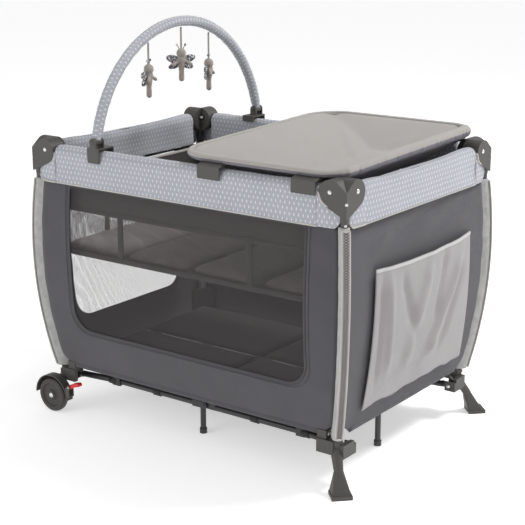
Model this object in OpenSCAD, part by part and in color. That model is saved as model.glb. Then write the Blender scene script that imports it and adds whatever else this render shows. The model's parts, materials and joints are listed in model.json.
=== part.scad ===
// Travel play yard: a folding four-post frame with padded rails, fabric walls, a bassinet insert,
// a lift-off changing top and a toy arch. Origin on the floor under the middle of the yard, +Z up.
// +X is the end with the feet and the pocket, -X the end with the wheels, -Y the front long side.

/* [Yard] */
// Length over the corner brackets
yard_l = 1030; // [1000:1:1060]
// Width over the corner brackets
yard_w = 734; // [710:1:750]
// Height of the top rail pivots
rail_z = 768; // [760:1:776]
// Height of the lower edge of the rail covers
cover_low_z = 680; // [672:1:686]
// Height of the top of the rail covers
cover_top_z = 786; // [782:1:790]
// Thickness of the rail covers and corner brackets
rail_depth = 48; // [46:1:50]

/* [Frame tubes] */
// Radius of the rail tubes
rail_r = 9; // [8.5:0.1:9]
// Wall of the tubes
tube_wall = 1.2; // [1:0.1:1.6]
// Distance of a rail pivot from the outside of its corner
pivot_inset = 49; // [48:0.5:50]
// Radius of the rivets that the rails turn on
rivet_r = 3; // [2.5:0.1:3.4]
// Radial clearance of everything that turns
run_gap = 0.08; // [0.05:0.01:0.1]

/* [Posts] */
// Radius of the post tubes
post_r = 12; // [11:0.5:12]
// Radius of the bow of the posts
bow_r = 1270; // [1240:10:1300]
// Height at which the posts stand out most
bow_z = 500; // [490:5:510]
// How far the posts stand out there
bow_out = 16; // [12:1:18]
// Height of the lower end of the posts
post_low_z = 133; // [131:1:135]

/* [Floor frame] */
// Height of the long floor rails
long_low_z = 95; // [94:1:96]
// Height of the short floor rails
short_low_z = 140; // [138:1:142]
// Half the distance between the long floor rails
long_low_y = 256; // [255:1:257]
// Half the distance between the short floor rails
short_low_x = 430; // [428:1:432]

/* [Wheels and feet] */
// Radius of the wheels
wheel_r = 50; // [48:1:50]
// Width of the wheels
wheel_w = 22; // [20:1:22]
// Width of a foot's sole
sole_w = 53; // [50:1:56]
// Depth of a foot's sole
sole_d = 48; // [44:1:50]

/* [Bassinet and changing top] */
// Height of the underside of the bassinet
bassinet_z = 474; // [460:1:475]
// Height of the near side of the changing top's frame
changer_z = 804; // [804:1:806]
// Rise of the changing top's frame from front to back
changer_rise = 20; // [18:1:22]
// Place of the toy arch along the yard
arch_x = -280; // [-300:1:-260]
// Radius of the toy arch
arch_r = 365; // [364:1:366]
// Height of the centre of the toy arch
arch_z = 735; // [733:1:737]

/* [Hidden] */
$fn = 48;

half_l = yard_l / 2;
half_w = yard_w / 2;
post_inset = rail_depth / 2;
post_x = half_l - post_inset;
post_y = half_w - post_inset;
long_a = half_l - pivot_inset;
short_a = half_w - pivot_inset;
tube_ri = rail_r - tube_wall;
bore_r = rivet_r + run_gap;
fit_gap = 0.02;
cover_gap = 1;
plastic = [0.38, 0.37, 0.35];
steel = [0.16, 0.16, 0.17];
silver = [0.8, 0.8, 0.82];
slate = [0.35, 0.34, 0.36];
heather = [0.66, 0.66, 0.65];
cover_grey = [0.75, 0.76, 0.78];
taupe = [0.72, 0.7, 0.68];

// Rivets, eyes and clevises
slot_w = 2 * rail_r + 1;
end_r = rail_r + 1.5;
head_room = 7;
cheek_t = 4;
mid_reach = 36;
mid_eye_t = 6;
mid_cheek_t = 5;
mid_cheek_gap = 0.3;
mid_r = 9;
low_pivot_y = 274;
bend_x = 320;
leg_off = 20;
leg_r = 8;
leg_back = 26;
leg_cap_r = 10.5;
leg_clear = 1;

// Heart-shaped half of a corner bracket, seen from outside
heart_tip_z = 705;
heart_notch_z = 771;
lobe_u = 46;
lobe_z = 764;
lobe_r = 34;

// Wheels
hub_x = 480;
wheel_y = 359;
fender_t = 3;
axle_r = 4;

// Soft parts
cover_play = 3.6;
cloth_t = 3;
mat_t = 15;
mat_z = 151;

function angle_of(v) = atan2(v[1], v[0]);
// Point where the line from p touches the circle of radius r about c; side is 1 or -1
function touch(p, c, r, side) =
    let (v = c - p, d = norm(v), l = sqrt(d * d - r * r), a = angle_of(v) + side * asin(r / d))
    [p[0] + l * cos(a), p[1] + l * sin(a)];
// How far the posts stand out along the corner's diagonal at height z
function bow(z) = bow_out - (bow_r - sqrt(bow_r * bow_r - pow(z - bow_z, 2)));

// Puts a part drawn for the corner at +X, +Y into the corner with the signs sx, sy
module corner(sx, sy) {
    mirror([sx < 0 ? 1 : 0, 0, 0])
    mirror([0, sy < 0 ? 1 : 0, 0])
        children();
}

module rod_y(x, z, r, y0, y1) {
    translate([x, y0, z]) rotate([-90, 0, 0]) cylinder(h = y1 - y0, r = r);
}

module rod_x(y, z, r, x0, x1) {
    translate([x0, y, z]) rotate([0, 90, 0]) cylinder(h = x1 - x0, r = r);
}

module block(lo, hi) {
    translate(lo) cube(hi - lo);
}

module tube_between(p, q, r, ri) {
    v = q - p;
    translate(p)
    rotate([0, acos(v[2] / norm(v)), atan2(v[1], v[0])])
    difference() {
        cylinder(h = norm(v), r = r);
        if (ri > 0) translate([0, 0, -1]) cylinder(h = norm(v) + 2, r = ri);
    }
}

// Sweeps a profile drawn across the post along the post's bow, from height z0 to z1
module along_bow(z0, z1) {
    a0 = asin((z0 - bow_z) / bow_r);
    a1 = asin((z1 - bow_z) / bow_r);
    translate([post_x, post_y, 0])
    rotate([0, 0, 45])
    translate([bow_out - bow_r, 0, bow_z])
    rotate([90, 0, 0])
    rotate([0, 0, a0])
    rotate_extrude(angle = a1 - a0, $fn = 180)
    translate([bow_r, 0])
        children();
}

module stadium(half_len, r) {
    square([2 * half_len, 2 * r], center = true);
    for (s = [-1, 1]) translate([s * half_len, 0]) circle(r = r);
}

// ---- Corner posts ----

post_join_z = 690;
post_top_z = 750;

module post(sx, sy) {
    color(steel) corner(sx, sy) {
        along_bow(post_low_z, post_join_z - 1)
        difference() {
            circle(r = post_r);
            circle(r = post_r - tube_wall);
        }
        translate([post_x, post_y, post_join_z])
        difference() {
            cylinder(h = post_top_z - post_join_z, r = post_r);
            translate([0, 0, 4]) cylinder(h = post_top_z, r = post_r - tube_wall);
        }
    }
}

// Padded sleeve round a post, pressed flat along the corner's diagonal
module sleeve(sx, sy) {
    color(heather) corner(sx, sy)
    along_bow(post_low_z + 17, post_join_z - 14)
    difference() {
        stadium(10, 15);
        stadium(9, post_r + 0.3);
    }
}

module half_heart() {
    tip = [0, heart_tip_z];
    notch = [0, heart_notch_z];
    lobe = [lobe_u, lobe_z];
    polygon([tip, touch(tip, lobe, lobe_r, -1), lobe, touch(notch, lobe, lobe_r, 1), notch]);
    translate(lobe) circle(r = lobe_r);
}

// Half heart on one face of a corner, mitred where the one on the other face meets it
module heart_side() {
    reach = 2 * (lobe_u + lobe_r);
    intersection() {
        rotate([90, 0, 0]) mirror([1, 0, 0]) linear_extrude(rail_depth) half_heart();
        linear_extrude(1000) polygon([[0, 0], [-reach, 0], [-reach, -reach]]);
    }
}

// Corner bracket: two half hearts at right angles, a cone under their tip and slots for the rails
module bracket(sx, sy) {
    color(plastic) corner(sx, sy)
    difference() {
        union() {
            translate([half_l, half_w, 0]) heart_side();
            translate([half_l, half_w, 0]) mirror([1, -1, 0]) heart_side();
            translate([half_l - 13, half_w - 13, cover_low_z]) cylinder(h = 40, r1 = 7, r2 = 13);
        }
        translate([post_x, post_y, cover_low_z - 1])
            cylinder(h = post_top_z - cover_low_z + 2, r = post_r + fit_gap);
        along_bow(cover_low_z - 3, post_join_z + 1) circle(r = post_r + fit_gap);
        block([long_a - 60, post_y - slot_w / 2, cover_low_z],
            [long_a + end_r, post_y + slot_w / 2, rail_z + end_r]);
        block([post_x - slot_w / 2, short_a - 60, cover_low_z],
            [post_x + slot_w / 2, short_a + end_r, rail_z + end_r]);
        rod_y(long_a, rail_z, head_room, half_w - rail_depth - 12, half_w - rail_depth);
        rod_x(short_a, rail_z, head_room, half_l - rail_depth - 12, half_l - rail_depth);
        rod_y(long_a, rail_z, rivet_r + fit_gap, half_w - rail_depth - 1, half_w + 1);
        rod_x(short_a, rail_z, rivet_r + fit_gap, half_l - rail_depth - 1, half_l + 1);
    }
}

// Rivet along Y between two faces, with a domed head outside each
module rivet(r, y0, y1) {
    rotate([-90, 0, 0]) {
        translate([0, 0, y0]) cylinder(h = y1 - y0, r = r);
        for (end = [[y0, -1], [y1, 1]])
            translate([0, 0, end[0]]) rotate([end[1] < 0 ? 180 : 0, 0, 0]) rivet_head(r);
    }
}

module rivet_head(r) {
    rotate_extrude() intersection() {
        translate([0, -r * 1.2]) circle(r = r * 2.3);
        translate([0, 0]) square([r * 2, r]);
    }
}

low_cheek_half = slot_w / 2 + cheek_t;

module corner_rivets(sx, sy) {
    color(silver) corner(sx, sy) {
        translate([long_a, 0, rail_z]) rivet(rivet_r, half_w - rail_depth, half_w);
        translate([0, short_a, rail_z]) rotate([0, 0, -90]) rivet(rivet_r, half_l - rail_depth, half_l);
        translate([long_a, 0, long_low_z])
            rivet(rivet_r, low_pivot_y - low_cheek_half, low_pivot_y + low_cheek_half);
        translate([0, short_a, short_low_z]) rotate([0, 0, -90])
            rivet(rivet_r, short_low_x - low_cheek_half, short_low_x + low_cheek_half);
        if (sx < 0) {
            rod_y(hub_x, wheel_r, axle_r, wheel_y - wheel_w / 2 - 12, wheel_y + wheel_w / 2 + 0.5);
            translate([hub_x, wheel_y + wheel_w / 2 + 0.5, wheel_r]) rotate([-90, 0, 0]) rivet_head(axle_r);
            rod_y(brake_x, brake_z, brake_pin_r, wheel_y - brake_ear_y - 3, wheel_y + brake_ear_y + 3);
        }
    }
}

// ---- Floor frame joints shared by the feet and the casters ----

// Arm from the foot of a post to the two clevises that hold the floor rails
module rail_clevises() {
    foot_x = post_x + bow(post_low_z) / sqrt(2);
    foot_y = post_y + bow(post_low_z) / sqrt(2);
    difference() {
        union() {
            along_bow(post_low_z - 22, post_low_z) circle(r = 17);
            block([long_a - 11, low_pivot_y - low_cheek_half, long_low_z - 14],
                [long_a + 22, low_pivot_y + low_cheek_half, long_low_z + 13]);
            block([long_a + head_room, low_pivot_y - 4, long_low_z - 14],
                [long_a + 22, foot_y + 4, long_low_z + 22]);
            block([short_low_x - low_cheek_half, short_a - 11, short_low_z - 13],
                [short_low_x + low_cheek_half, short_a + 14, short_low_z + 12]);
            block([short_low_x - low_cheek_half, short_a + 5, long_low_z - 2],
                [foot_x + 2, short_a + 18, short_low_z - 11]);
        }
        block([long_a - 12, low_pivot_y - slot_w / 2, long_low_z - end_r],
            [long_a + end_r, low_pivot_y + slot_w / 2, long_low_z + 24]);
        block([short_low_x - slot_w / 2, short_a - 12, short_low_z - end_r],
            [short_low_x + slot_w / 2, short_a + end_r, short_low_z + 13]);
        rod_y(long_a, long_low_z, rivet_r + fit_gap, low_pivot_y - 20, low_pivot_y + 20);
        rod_x(short_a, short_low_z, rivet_r + fit_gap, short_low_x - 20, short_low_x + 20);
    }
}

sole_c = [half_l - 10, half_w - 10];

// Foot: a column that narrows and then flares to a flat sole
module foot(sx, sy) {
    color(plastic) corner(sx, sy) {
        rail_clevises();
        hull($fn = 32) {
            along_bow(post_low_z - 24, post_low_z - 16) circle(r = 16);
            translate([half_l - 29, half_w - 29, 56]) cylinder(h = 6, r = 12);
        }
        hull($fn = 32) {
            translate([half_l - 29, half_w - 29, 57.5]) cylinder(h = 3, r = 11.5);
            translate([sole_c[0] - 2, sole_c[1] - 2, 5]) rotate([0, 0, 45])
                cube([sole_d - 8, sole_w - 3, 6], center = true);
        }
        translate([sole_c[0], sole_c[1], 5]) rotate([0, 0, 45])
            cube([sole_d, sole_w, 10], center = true);
    }
}

// ---- Casters ----

foot_reach = sole_c[0] + (sole_d + sole_w) / 2 / sqrt(2);
fender_r = foot_reach - hub_x;
brake_x = 412;
brake_z = 86;
brake_pin_r = 2.5;
brake_ear_y = 7.2;

module caster_fork(sx, sy) {
    inner_y = wheel_y - wheel_w / 2 - 4;
    outer_y = wheel_y + wheel_w / 2;
    color(plastic) corner(sx, sy)
    difference() {
        union() {
            rail_clevises();
            translate([hub_x, 0, wheel_r]) rotate([-90, 0, 0]) translate([0, 0, inner_y]) {
                rotate_extrude(angle = -186) {
                    translate([fender_r - fender_t, 0]) square([fender_t, outer_y - inner_y]);
                    square([fender_r, fender_t]);
                }
                cylinder(h = fender_t, r = 16);
            }
            hull($fn = 32) {
                along_bow(post_low_z - 24, post_low_z - 16) circle(r = 16);
                translate([hub_x - 6, inner_y - 12, 92]) cylinder(h = 8, r = 12);
            }
            hull($fn = 32) {
                translate([hub_x - 6, inner_y - 12, 92]) cylinder(h = 8, r = 12);
                rod_y(hub_x, wheel_r, 13, inner_y - 8, inner_y + 1);
            }
            for (s = [-1, 1]) translate([0, wheel_y + s * (brake_ear_y + 1.7), 0]) {
                rod_y(brake_x, brake_z, 6, -1.5, 1.5);
                block([brake_x - 2, -1.5, brake_z - 30], [hub_x - fender_r + 4, 1.5, brake_z - 1]);
            }
        }
        rod_y(hub_x, wheel_r, axle_r + fit_gap, inner_y - 10, inner_y + fender_t + 1);
        rod_y(brake_x, brake_z, brake_pin_r + fit_gap, wheel_y - 14, wheel_y + 14);
        translate([hub_x, 0, wheel_r]) rotate([-90, 0, 0]) translate([0, 0, inner_y + fender_t])
            cylinder(h = 60, r = wheel_r + 1.5);
        translate([hub_x, 0, wheel_r]) rotate([-90, 0, 0]) translate([0, 0, outer_y])
            cylinder(h = 20, r = fender_r + 20);
    }
}

module wheel(sy) {
    color(plastic) corner(-1, sy)
    translate([hub_x, wheel_y - wheel_w / 2, wheel_r]) rotate([-90, 0, 0])
    rotate_extrude($fn = 96) difference() {
        polygon([[axle_r + run_gap, 0], [wheel_r - 3, 0], [wheel_r, 3], [wheel_r, wheel_w - 3],
            [wheel_r - 3, wheel_w], [axle_r + run_gap, wheel_w]]);
        translate([32, wheel_w - 3]) square([4, 5]);
    }
}

module brake_lever(sy) {
    color([0.78, 0.1, 0.12]) corner(-1, sy)
    translate([brake_x, wheel_y + brake_ear_y, brake_z]) rotate([90, 0, 0])
    difference() {
        linear_extrude(2 * brake_ear_y) {
            circle(r = 6);
            polygon([[-1, -5.5], [-5, 5], [-16, 15], [-34, 20], [-40, 16], [-38, 10], [-20, 5], [-9, -2]]);
        }
        translate([0, 0, -1]) cylinder(h = 2 * brake_ear_y + 2, r = brake_pin_r + run_gap);
    }
}

// ---- Rails ----

// End of a half rail at the middle of a side: an eye, or a fork with its rivet
module mid_eye(a) {
    difference() {
        union() {
            block([a - mid_reach - 6, -mid_eye_t / 2, -mid_r], [a, mid_eye_t / 2, mid_r]);
            rod_y(a, 0, mid_r, -mid_eye_t / 2, mid_eye_t / 2);
        }
        rod_y(a, 0, bore_r, -mid_eye_t, mid_eye_t);
    }
}

module mid_fork(a) {
    y0 = mid_eye_t / 2 + mid_cheek_gap;
    difference() {
        for (s = [-1, 1]) translate([0, s * (y0 + mid_cheek_t / 2), 0]) {
            block([a - mid_reach - 6, -mid_cheek_t / 2, -mid_r], [a, mid_cheek_t / 2, mid_r]);
            rod_y(a, 0, mid_r, -mid_cheek_t / 2, mid_cheek_t / 2);
        }
        rod_y(a, 0, rivet_r + fit_gap, -20, 20);
    }
}

module rail_end() {
    difference() {
        union() {
            rod_x(0, 0, rail_r, 0, 26);
            rod_y(0, 0, rail_r, -rail_r, rail_r);
        }
        rod_y(0, 0, bore_r, -20, 20);
    }
}

module mid_rivet(a) {
    y1 = mid_eye_t / 2 + mid_cheek_gap + mid_cheek_t;
    translate([a, 0, 0]) rivet(rivet_r, -y1, y1);
}

// Half of a top rail, from its post pivot at the origin to the middle of its side along +X
module top_half(a, fork) {
    rail_end();
    tube_between([24, 0, 0], [a - mid_reach, 0, 0], rail_r, tube_ri);
    rod_x(0, 0, rail_r, a - mid_reach - 12, a - mid_reach);
    if (fork) mid_fork(a);
    else mid_eye(a);
}

module top_rail(place, turn, a, fork) {
    translate([place[0], place[1], rail_z]) rotate([0, 0, turn]) {
        color(steel) top_half(a, fork);
        if (fork) color(silver) mid_rivet(a);
    }
}

// Half of a long floor rail; it bends inwards, to the side given by s
module long_floor_half(a, s, fork) {
    inward = s * (low_pivot_y - long_low_y);
    bend = a - bend_x;
    rail_end();
    tube_between([22, inward * 22 / bend, 0], [bend, inward, 0], rail_r, tube_ri);
    block([bend - 14, inward - s * 1 - 11, -11], [bend + 14, inward + s * 1 + 11, 11]);
    tube_between([bend, inward, 0], [a - mid_reach, inward, 0], rail_r, tube_ri);
    translate([0, inward, 0]) floor_mid(a, s, fork, long_low_z);
}

module short_floor_half(a, s, fork) {
    rail_end();
    tube_between([24, 0, 0], [a - mid_reach, 0, 0], rail_r, tube_ri);
    floor_mid(a, s, fork, short_low_z);
}

// Middle of a floor rail: an eye, or a fork with the standing leg beside it
module floor_mid(a, s, fork, z) {
    rod_x(0, 0, rail_r, a - mid_reach - 12, a - mid_reach);
    if (fork) {
        mid_fork(a);
        y0 = min(s * (rail_r - 1), s * (leg_off + 10));
        y1 = max(s * (rail_r - 1), s * (leg_off + 10));
        block([a - mid_reach - 12, y0, -9], [a - leg_back + 11, y1, 9]);
        translate([a - leg_back, s * leg_off, leg_clear + 12 - z])
            cylinder(h = z - leg_clear - 20, r = leg_r);
        translate([a - leg_back, s * leg_off, leg_clear - z]) cylinder(h = 14, r = leg_cap_r);
    } else mid_eye(a);
}

module long_floor_rail(sx, sy, fork) {
    s = sx > 0 ? sy : -sy;
    translate([sx * long_a, sy * low_pivot_y, long_low_z]) rotate([0, 0, sx > 0 ? 180 : 0]) {
        color(steel) long_floor_half(long_a, s, fork);
        if (fork) color(silver) translate([0, s * (low_pivot_y - long_low_y), 0]) mid_rivet(long_a);
    }
}

module short_floor_rail(sx, sy, fork) {
    translate([sx * short_low_x, sy * short_a, short_low_z]) rotate([0, 0, sy > 0 ? -90 : 90]) {
        color(steel) short_floor_half(short_a, sx * sy > 0 ? -1 : 1, fork);
        if (fork) color(silver) mid_rivet(short_a);
    }
}

// ---- Soft covers and walls ----

// Section of a rail cover, outside towards +X, with a hole for the rail tube
module cover_section() {
    difference() {
        union() {
            translate([0, cover_top_z - rail_depth / 2]) circle(r = rail_depth / 2);
            translate([-3, cover_low_z + 12]) square([27, 80]);
            translate([12, cover_low_z + 12]) circle(r = 12);
            translate([-3, cover_low_z + 12]) square([15, 20]);
            translate([0, cover_low_z]) square([12, 13]);
        }
        translate([0, rail_z]) circle(r = rail_r + cover_play);
    }
}

// Cover of one side, drawn along +X with its outside towards +Y
module rail_cover(half_len, out, turn) {
    color(cover_grey) rotate([0, 0, turn]) {
        translate([-half_len, out - post_inset, 0]) rotate([90, 0, 90])
            linear_extrude(2 * half_len) cover_section();
    }
}

lobe_reach = lobe_u + lobe_r + cover_gap;

// Outline across a wall between two posts, with the lower corners cut away
module wall_outline(half_len) {
    z0 = post_low_z + 4;
    steps = 14;
    cut_z = 190;
    edge = [for (i = [0:steps]) let (z = cut_z + (cover_low_z - cover_gap - cut_z) * i / steps)
        [half_len + bow(z) / sqrt(2), z]];
    right = concat([[half_len - 84, z0]], edge);
    polygon(concat(right, [for (i = [len(right) - 1:-1:0]) [-right[i][0], right[i][1]]]));
}

// Section of a wall sheet, bowed as the posts are; out is where it would be with no bow
module wall_section(out) {
    steps = 14;
    z0 = post_low_z + 4;
    line = [for (i = [0:steps]) let (z = z0 + (cover_low_z - cover_gap - z0) * i / steps)
        [out + bow(z) / sqrt(2), z]];
    polygon(concat(line, [for (i = [steps:-1:0]) [line[i][0] - cloth_t, line[i][1]]]));
}

module side_panel(half_len, out, turn) {
    color(slate) rotate([0, 0, turn]) intersection() {
        translate([-half_len - 40, 0, 0]) rotate([90, 0, 90])
            linear_extrude(2 * half_len + 80) wall_section(out);
        translate([0, out + 60, 0]) rotate([90, 0, 0]) linear_extrude(140) wall_outline(half_len);
    }
}

wall_out = 11;
sleeve_side = 24;

pocket_low_z = 190;
pocket_top_z = 560;

// Pocket on the +X wall: a sheet that leans away from the wall towards its open top
module pocket() {
    x0 = post_x + wall_out + bow(pocket_low_z) / sqrt(2) + 3;
    x1 = post_x + wall_out + bow(pocket_top_z) / sqrt(2) + 20;
    xm = post_x + wall_out + bow(380) / sqrt(2) + 17;
    color(taupe) translate([0, 262, 0]) rotate([90, 0, 0])
    difference() {
        linear_extrude(524)
            polygon([[x0, pocket_low_z], [x0 + 9, pocket_low_z], [xm, 380], [x1, pocket_top_z],
                [x1 - 16, pocket_top_z], [xm - 13, 380]]);
        translate([0, 0, 3]) linear_extrude(518)
            polygon([[x0 + 3, pocket_low_z + 6], [x0 + 5, pocket_low_z + 6], [xm - 3, 380],
                [x1 - 3, pocket_top_z + 1], [x1 - 20, pocket_top_z + 1], [xm - 20, 380]]);
    }
}

module rounded_plate(hx, hy, r, h) {
    linear_extrude(h) {
        square([2 * hx, 2 * (hy - r)], center = true);
        square([2 * (hx - r), 2 * hy], center = true);
        for (sx = [-1, 1], sy = [-1, 1]) translate([sx * (hx - r), sy * (hy - r)]) circle(r = r);
    }
}

module floor_mat() {
    color([0.2, 0.19, 0.19]) difference() {
        translate([0, 0, mat_z]) rounded_plate(446, 296, 60, mat_t);
        for (x = [-223, 0, 223]) block([x - 1.5, -297, mat_z + 5], [x + 1.5, 297, mat_z + mat_t + 1]);
    }
}

shell_x = 464;
shell_y = 330;

module bassinet_shell() {
    color([0.3, 0.29, 0.3]) difference() {
        translate([0, 0, bassinet_z]) rounded_plate(shell_x, shell_y, 60, cover_low_z - 6 - bassinet_z);
        translate([0, 0, bassinet_z + 3]) rounded_plate(shell_x - 3, shell_y - 3, 57, 400);
    }
}

module bassinet_mattress() {
    color([0.33, 0.31, 0.31]) difference() {
        translate([0, 0, bassinet_z + 4]) rounded_plate(shell_x - 8, shell_y - 8, 52, 30);
        for (x = [-228, 0, 228])
            block([x - 1.5, -shell_y, bassinet_z + 16], [x + 1.5, shell_y, bassinet_z + 40]);
    }
}

// ---- Changing top ----

changer_x0 = -20;
changer_x1 = 468;
changer_y = 345;
changer_r = 8;
roll_r = 12;
bend_left = 100;
bend_right = 60;
clip_x = [109, 395];
clip_w = 70;

module quarter(c, bend, r, a0) {
    translate(c) rotate([0, 0, a0]) rotate_extrude(angle = 90) translate([bend, 0]) circle(r = r);
}

module changer_tilt() {
    translate([0, 0, changer_z + changer_rise / 2])
        rotate([asin(changer_rise / (2 * changer_y)), 0, 0])
            children();
}

module changer_frame() {
    color(steel) changer_tilt() {
        for (s = [-1, 1]) {
            rod_x(s * changer_y, 0, changer_r, changer_x0 + bend_left, changer_x1 - bend_right);
            quarter([changer_x0 + bend_left, s * (changer_y - bend_left), 0],
                bend_left, changer_r, s > 0 ? 90 : 180);
            quarter([changer_x1 - bend_right, s * (changer_y - bend_right), 0],
                bend_right, changer_r, s > 0 ? 0 : 270);
        }
        rod_y(changer_x0, 0, changer_r, bend_left - changer_y, changer_y - bend_left);
        rod_y(changer_x1, 0, roll_r, bend_right - changer_y, changer_y - bend_right);
    }
}

sling_depth = 74;
sling_nx = 20;
sling_ny = 22;
sling_t = 4;
head_slope = 1.06;
foot_slope = 3.2;
side_slope = 2.6;
sling_edge = 2.5;

// Sag of the sling at u, v from -1 to 1 across it
function sag(u, v) =
    -sling_depth * min(1, head_slope * (1 + u), foot_slope * (1 - u), side_slope * (1 - abs(v)));
// Half length of the sling's row v, which is shorter in the rounded corners
function row_half(v, bend, y) =
    let (over = abs(v) * y - (y - bend)) over <= 0 ? 0 : bend - sqrt(max(0, bend * bend - over * over));
function sling_point(i, j, dz) =
    let (v = -1 + 2 * j / sling_ny, u = -1 + 2 * i / sling_nx, y = changer_y - changer_r - sling_edge,
        xa = changer_x0 + changer_r + sling_edge + row_half(v, bend_left - changer_r, y),
        xb = changer_x1 - roll_r - sling_edge - row_half(v, bend_right - changer_r, y))
    [(xa + xb) / 2 + u * (xb - xa) / 2, v * y, sag(u, v) + dz];

module changer_sling() {
    n = (sling_nx + 1) * (sling_ny + 1);
    w = sling_nx + 1;
    points = [for (dz = [0, -sling_t]) for (j = [0:sling_ny]) for (i = [0:sling_nx]) sling_point(i, j, dz)];
    top = [for (j = [0:sling_ny - 1]) for (i = [0:sling_nx - 1]) let (k = j * w + i)
        for (f = [[k, k + w, k + 1], [k + 1, k + w, k + w + 1]]) f];
    low = [for (f = top) [f[2] + n, f[1] + n, f[0] + n]];
    rim = concat([for (i = [0:sling_nx]) i], [for (j = [1:sling_ny]) j * w + sling_nx],
        [for (i = [sling_nx - 1:-1:0]) sling_ny * w + i], [for (j = [sling_ny - 1:-1:1]) j * w]);
    m = len(rim);
    wall = [for (k = [0:m - 1]) let (a = rim[k], b = rim[(k + 1) % m])
        for (f = [[a, b, b + n], [a, b + n, a + n]]) f];
    color(taupe) changer_tilt() polyhedron(points, concat(top, low, wall), convexity = 6);
}

// Hook over a rail cover, under the frame tube: section seen along +X for the side at +Y
module clip_section(top_z) {
    gap = 3;
    out_y = half_w + gap;
    polygon([[out_y + 4, 756], [out_y, 756], [out_y, cover_top_z + cover_gap],
        [changer_y - 20, cover_top_z + cover_gap], [changer_y - 20, cover_top_z + 3], [changer_y - 10, top_z],
        [changer_y + 12, top_z], [out_y + 4, cover_top_z + 4]]);
}

module changer_clips() {
    color(plastic) for (s = [-1, 1], x = clip_x) {
        top_z = s < 0 ? changer_z - changer_r - 0.3 : changer_z + changer_rise - changer_r - 0.3;
        translate([x - clip_w / 2, 0, 0]) mirror([0, s < 0 ? 1 : 0, 0]) rotate([90, 0, 90])
            linear_extrude(clip_w) clip_section(top_z);
    }
}

// ---- Toy arch ----

hinge_y = 357;
hinge_z = 808;
tube_r = 15;
arch_a0 = asin((hinge_z + 17 - arch_z) / arch_r);

module toy_bar_clamps() {
    for (s = [-1, 1]) mirror([0, s < 0 ? 1 : 0, 0]) {
        color(plastic) difference() {
            union() {
                translate([arch_x - 20, 0, 0]) rotate([90, 0, 90]) linear_extrude(40)
                    polygon([[half_w + 7, 752], [half_w + 3, 752], [half_w + 3, cover_top_z + 2],
                        [half_w - rail_depth - 3, cover_top_z + 2], [half_w - rail_depth - 3, 774],
                        [half_w - rail_depth - 6, 774], [half_w - rail_depth - 6, 792], [half_w + 7, 792]]);
                for (y = [hinge_y - 17, hinge_y + 13]) {
                    rod_y(arch_x, hinge_z, 11, y, y + 4);
                    block([arch_x - 11, y, 790], [arch_x + 11, y + 4, hinge_z]);
                }
            }
            rod_y(arch_x, hinge_z, rivet_r + fit_gap, hinge_y - 20, hinge_y + 20);
        }
        color(silver) translate([arch_x, 0, hinge_z]) rivet(rivet_r, hinge_y - 17, hinge_y + 17);
    }
}

module toy_bar() {
    color(cover_grey) translate([arch_x, 0, arch_z]) rotate([90, 0, 90]) rotate([0, 0, arch_a0])
        rotate_extrude(angle = 180 - 2 * arch_a0, $fn = 96) translate([arch_r, 0]) circle(r = tube_r);
    color(plastic) for (s = [-1, 1]) mirror([0, s < 0 ? 1 : 0, 0]) difference() {
        union() {
            rod_y(arch_x, hinge_z, 10.5, hinge_y - 12.5, hinge_y + 12.5);
            translate([arch_x, hinge_y - 1, hinge_z]) cylinder(h = 20, r = 9);
        }
        rod_y(arch_x, hinge_z, bore_r, hinge_y - 20, hinge_y + 20);
    }
}

toy_y = [-141, 0, 124];
ribbon_l = [74, 75, 90];
ribbon_w = 10;
ribbon_gap = 2;

// Where a toy's ribbon leaves the underside of the arch
function hang_z(y) =
    let (rise = sqrt(arch_r * arch_r - y * y), slope = abs(y) / rise)
    arch_z + rise - tube_r * sqrt(1 + slope * slope) - ribbon_w / 2 * slope - ribbon_gap;

// Winged plush toy on a ribbon, head at the top, facing +X
module toy(k) {
    z = hang_z(toy_y[k]);
    head_z = z - ribbon_l[k] - 14;
    translate([arch_x, toy_y[k], 0]) {
        color(taupe) {
            block([-1, -ribbon_w / 2, head_z + 8], [1, ribbon_w / 2, z]);
            translate([0, 0, head_z]) sphere(r = 15);
            hull($fn = 24) {
                translate([0, 0, head_z - 22]) sphere(r = 12);
                translate([0, 0, head_z - 46]) sphere(r = 8);
            }
            translate([0, 0, head_z - 58]) sphere(r = 7);
        }
        color([0.45, 0.45, 0.47]) for (s = [-1, 1]) for (w = [[30, 6], [26, -16]]) hull($fn = 24) {
            translate([-5, s * 5, head_z - 22]) sphere(r = 5);
            translate([-4, s * w[0], head_z - 24 + w[1]]) sphere(r = 10);
        }
    }
}

// ---- All the parts ----

post(1, -1);  // post_front_right
post(-1, -1);  // post_front_left
post(1, 1);  // post_back_right
post(-1, 1);  // post_back_left
bracket(1, -1);  // bracket_front_right
bracket(-1, -1);  // bracket_front_left
bracket(1, 1);  // bracket_back_right
bracket(-1, 1);  // bracket_back_left
sleeve(1, -1);  // sleeve_front_right
sleeve(-1, -1);  // sleeve_front_left
sleeve(1, 1);  // sleeve_back_right
sleeve(-1, 1);  // sleeve_back_left
corner_rivets(1, -1);  // rivets_front_right
corner_rivets(-1, -1);  // rivets_front_left
corner_rivets(1, 1);  // rivets_back_right
corner_rivets(-1, 1);  // rivets_back_left
foot(1, -1);  // foot_front_right
foot(1, 1);  // foot_back_right
caster_fork(-1, -1);  // caster_fork_front_left
caster_fork(-1, 1);  // caster_fork_back_left
wheel(-1);  // wheel_front
wheel(1);  // wheel_back
brake_lever(-1);  // brake_lever_front
brake_lever(1);  // brake_lever_back
top_rail([long_a, -post_y], 180, long_a, true);  // top_rail_front_right
top_rail([-long_a, -post_y], 0, long_a, false);  // top_rail_front_left
top_rail([long_a, post_y], 180, long_a, true);  // top_rail_back_right
top_rail([-long_a, post_y], 0, long_a, false);  // top_rail_back_left
top_rail([post_x, -short_a], 90, short_a, true);  // top_rail_right_front
top_rail([post_x, short_a], -90, short_a, false);  // top_rail_right_back
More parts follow.
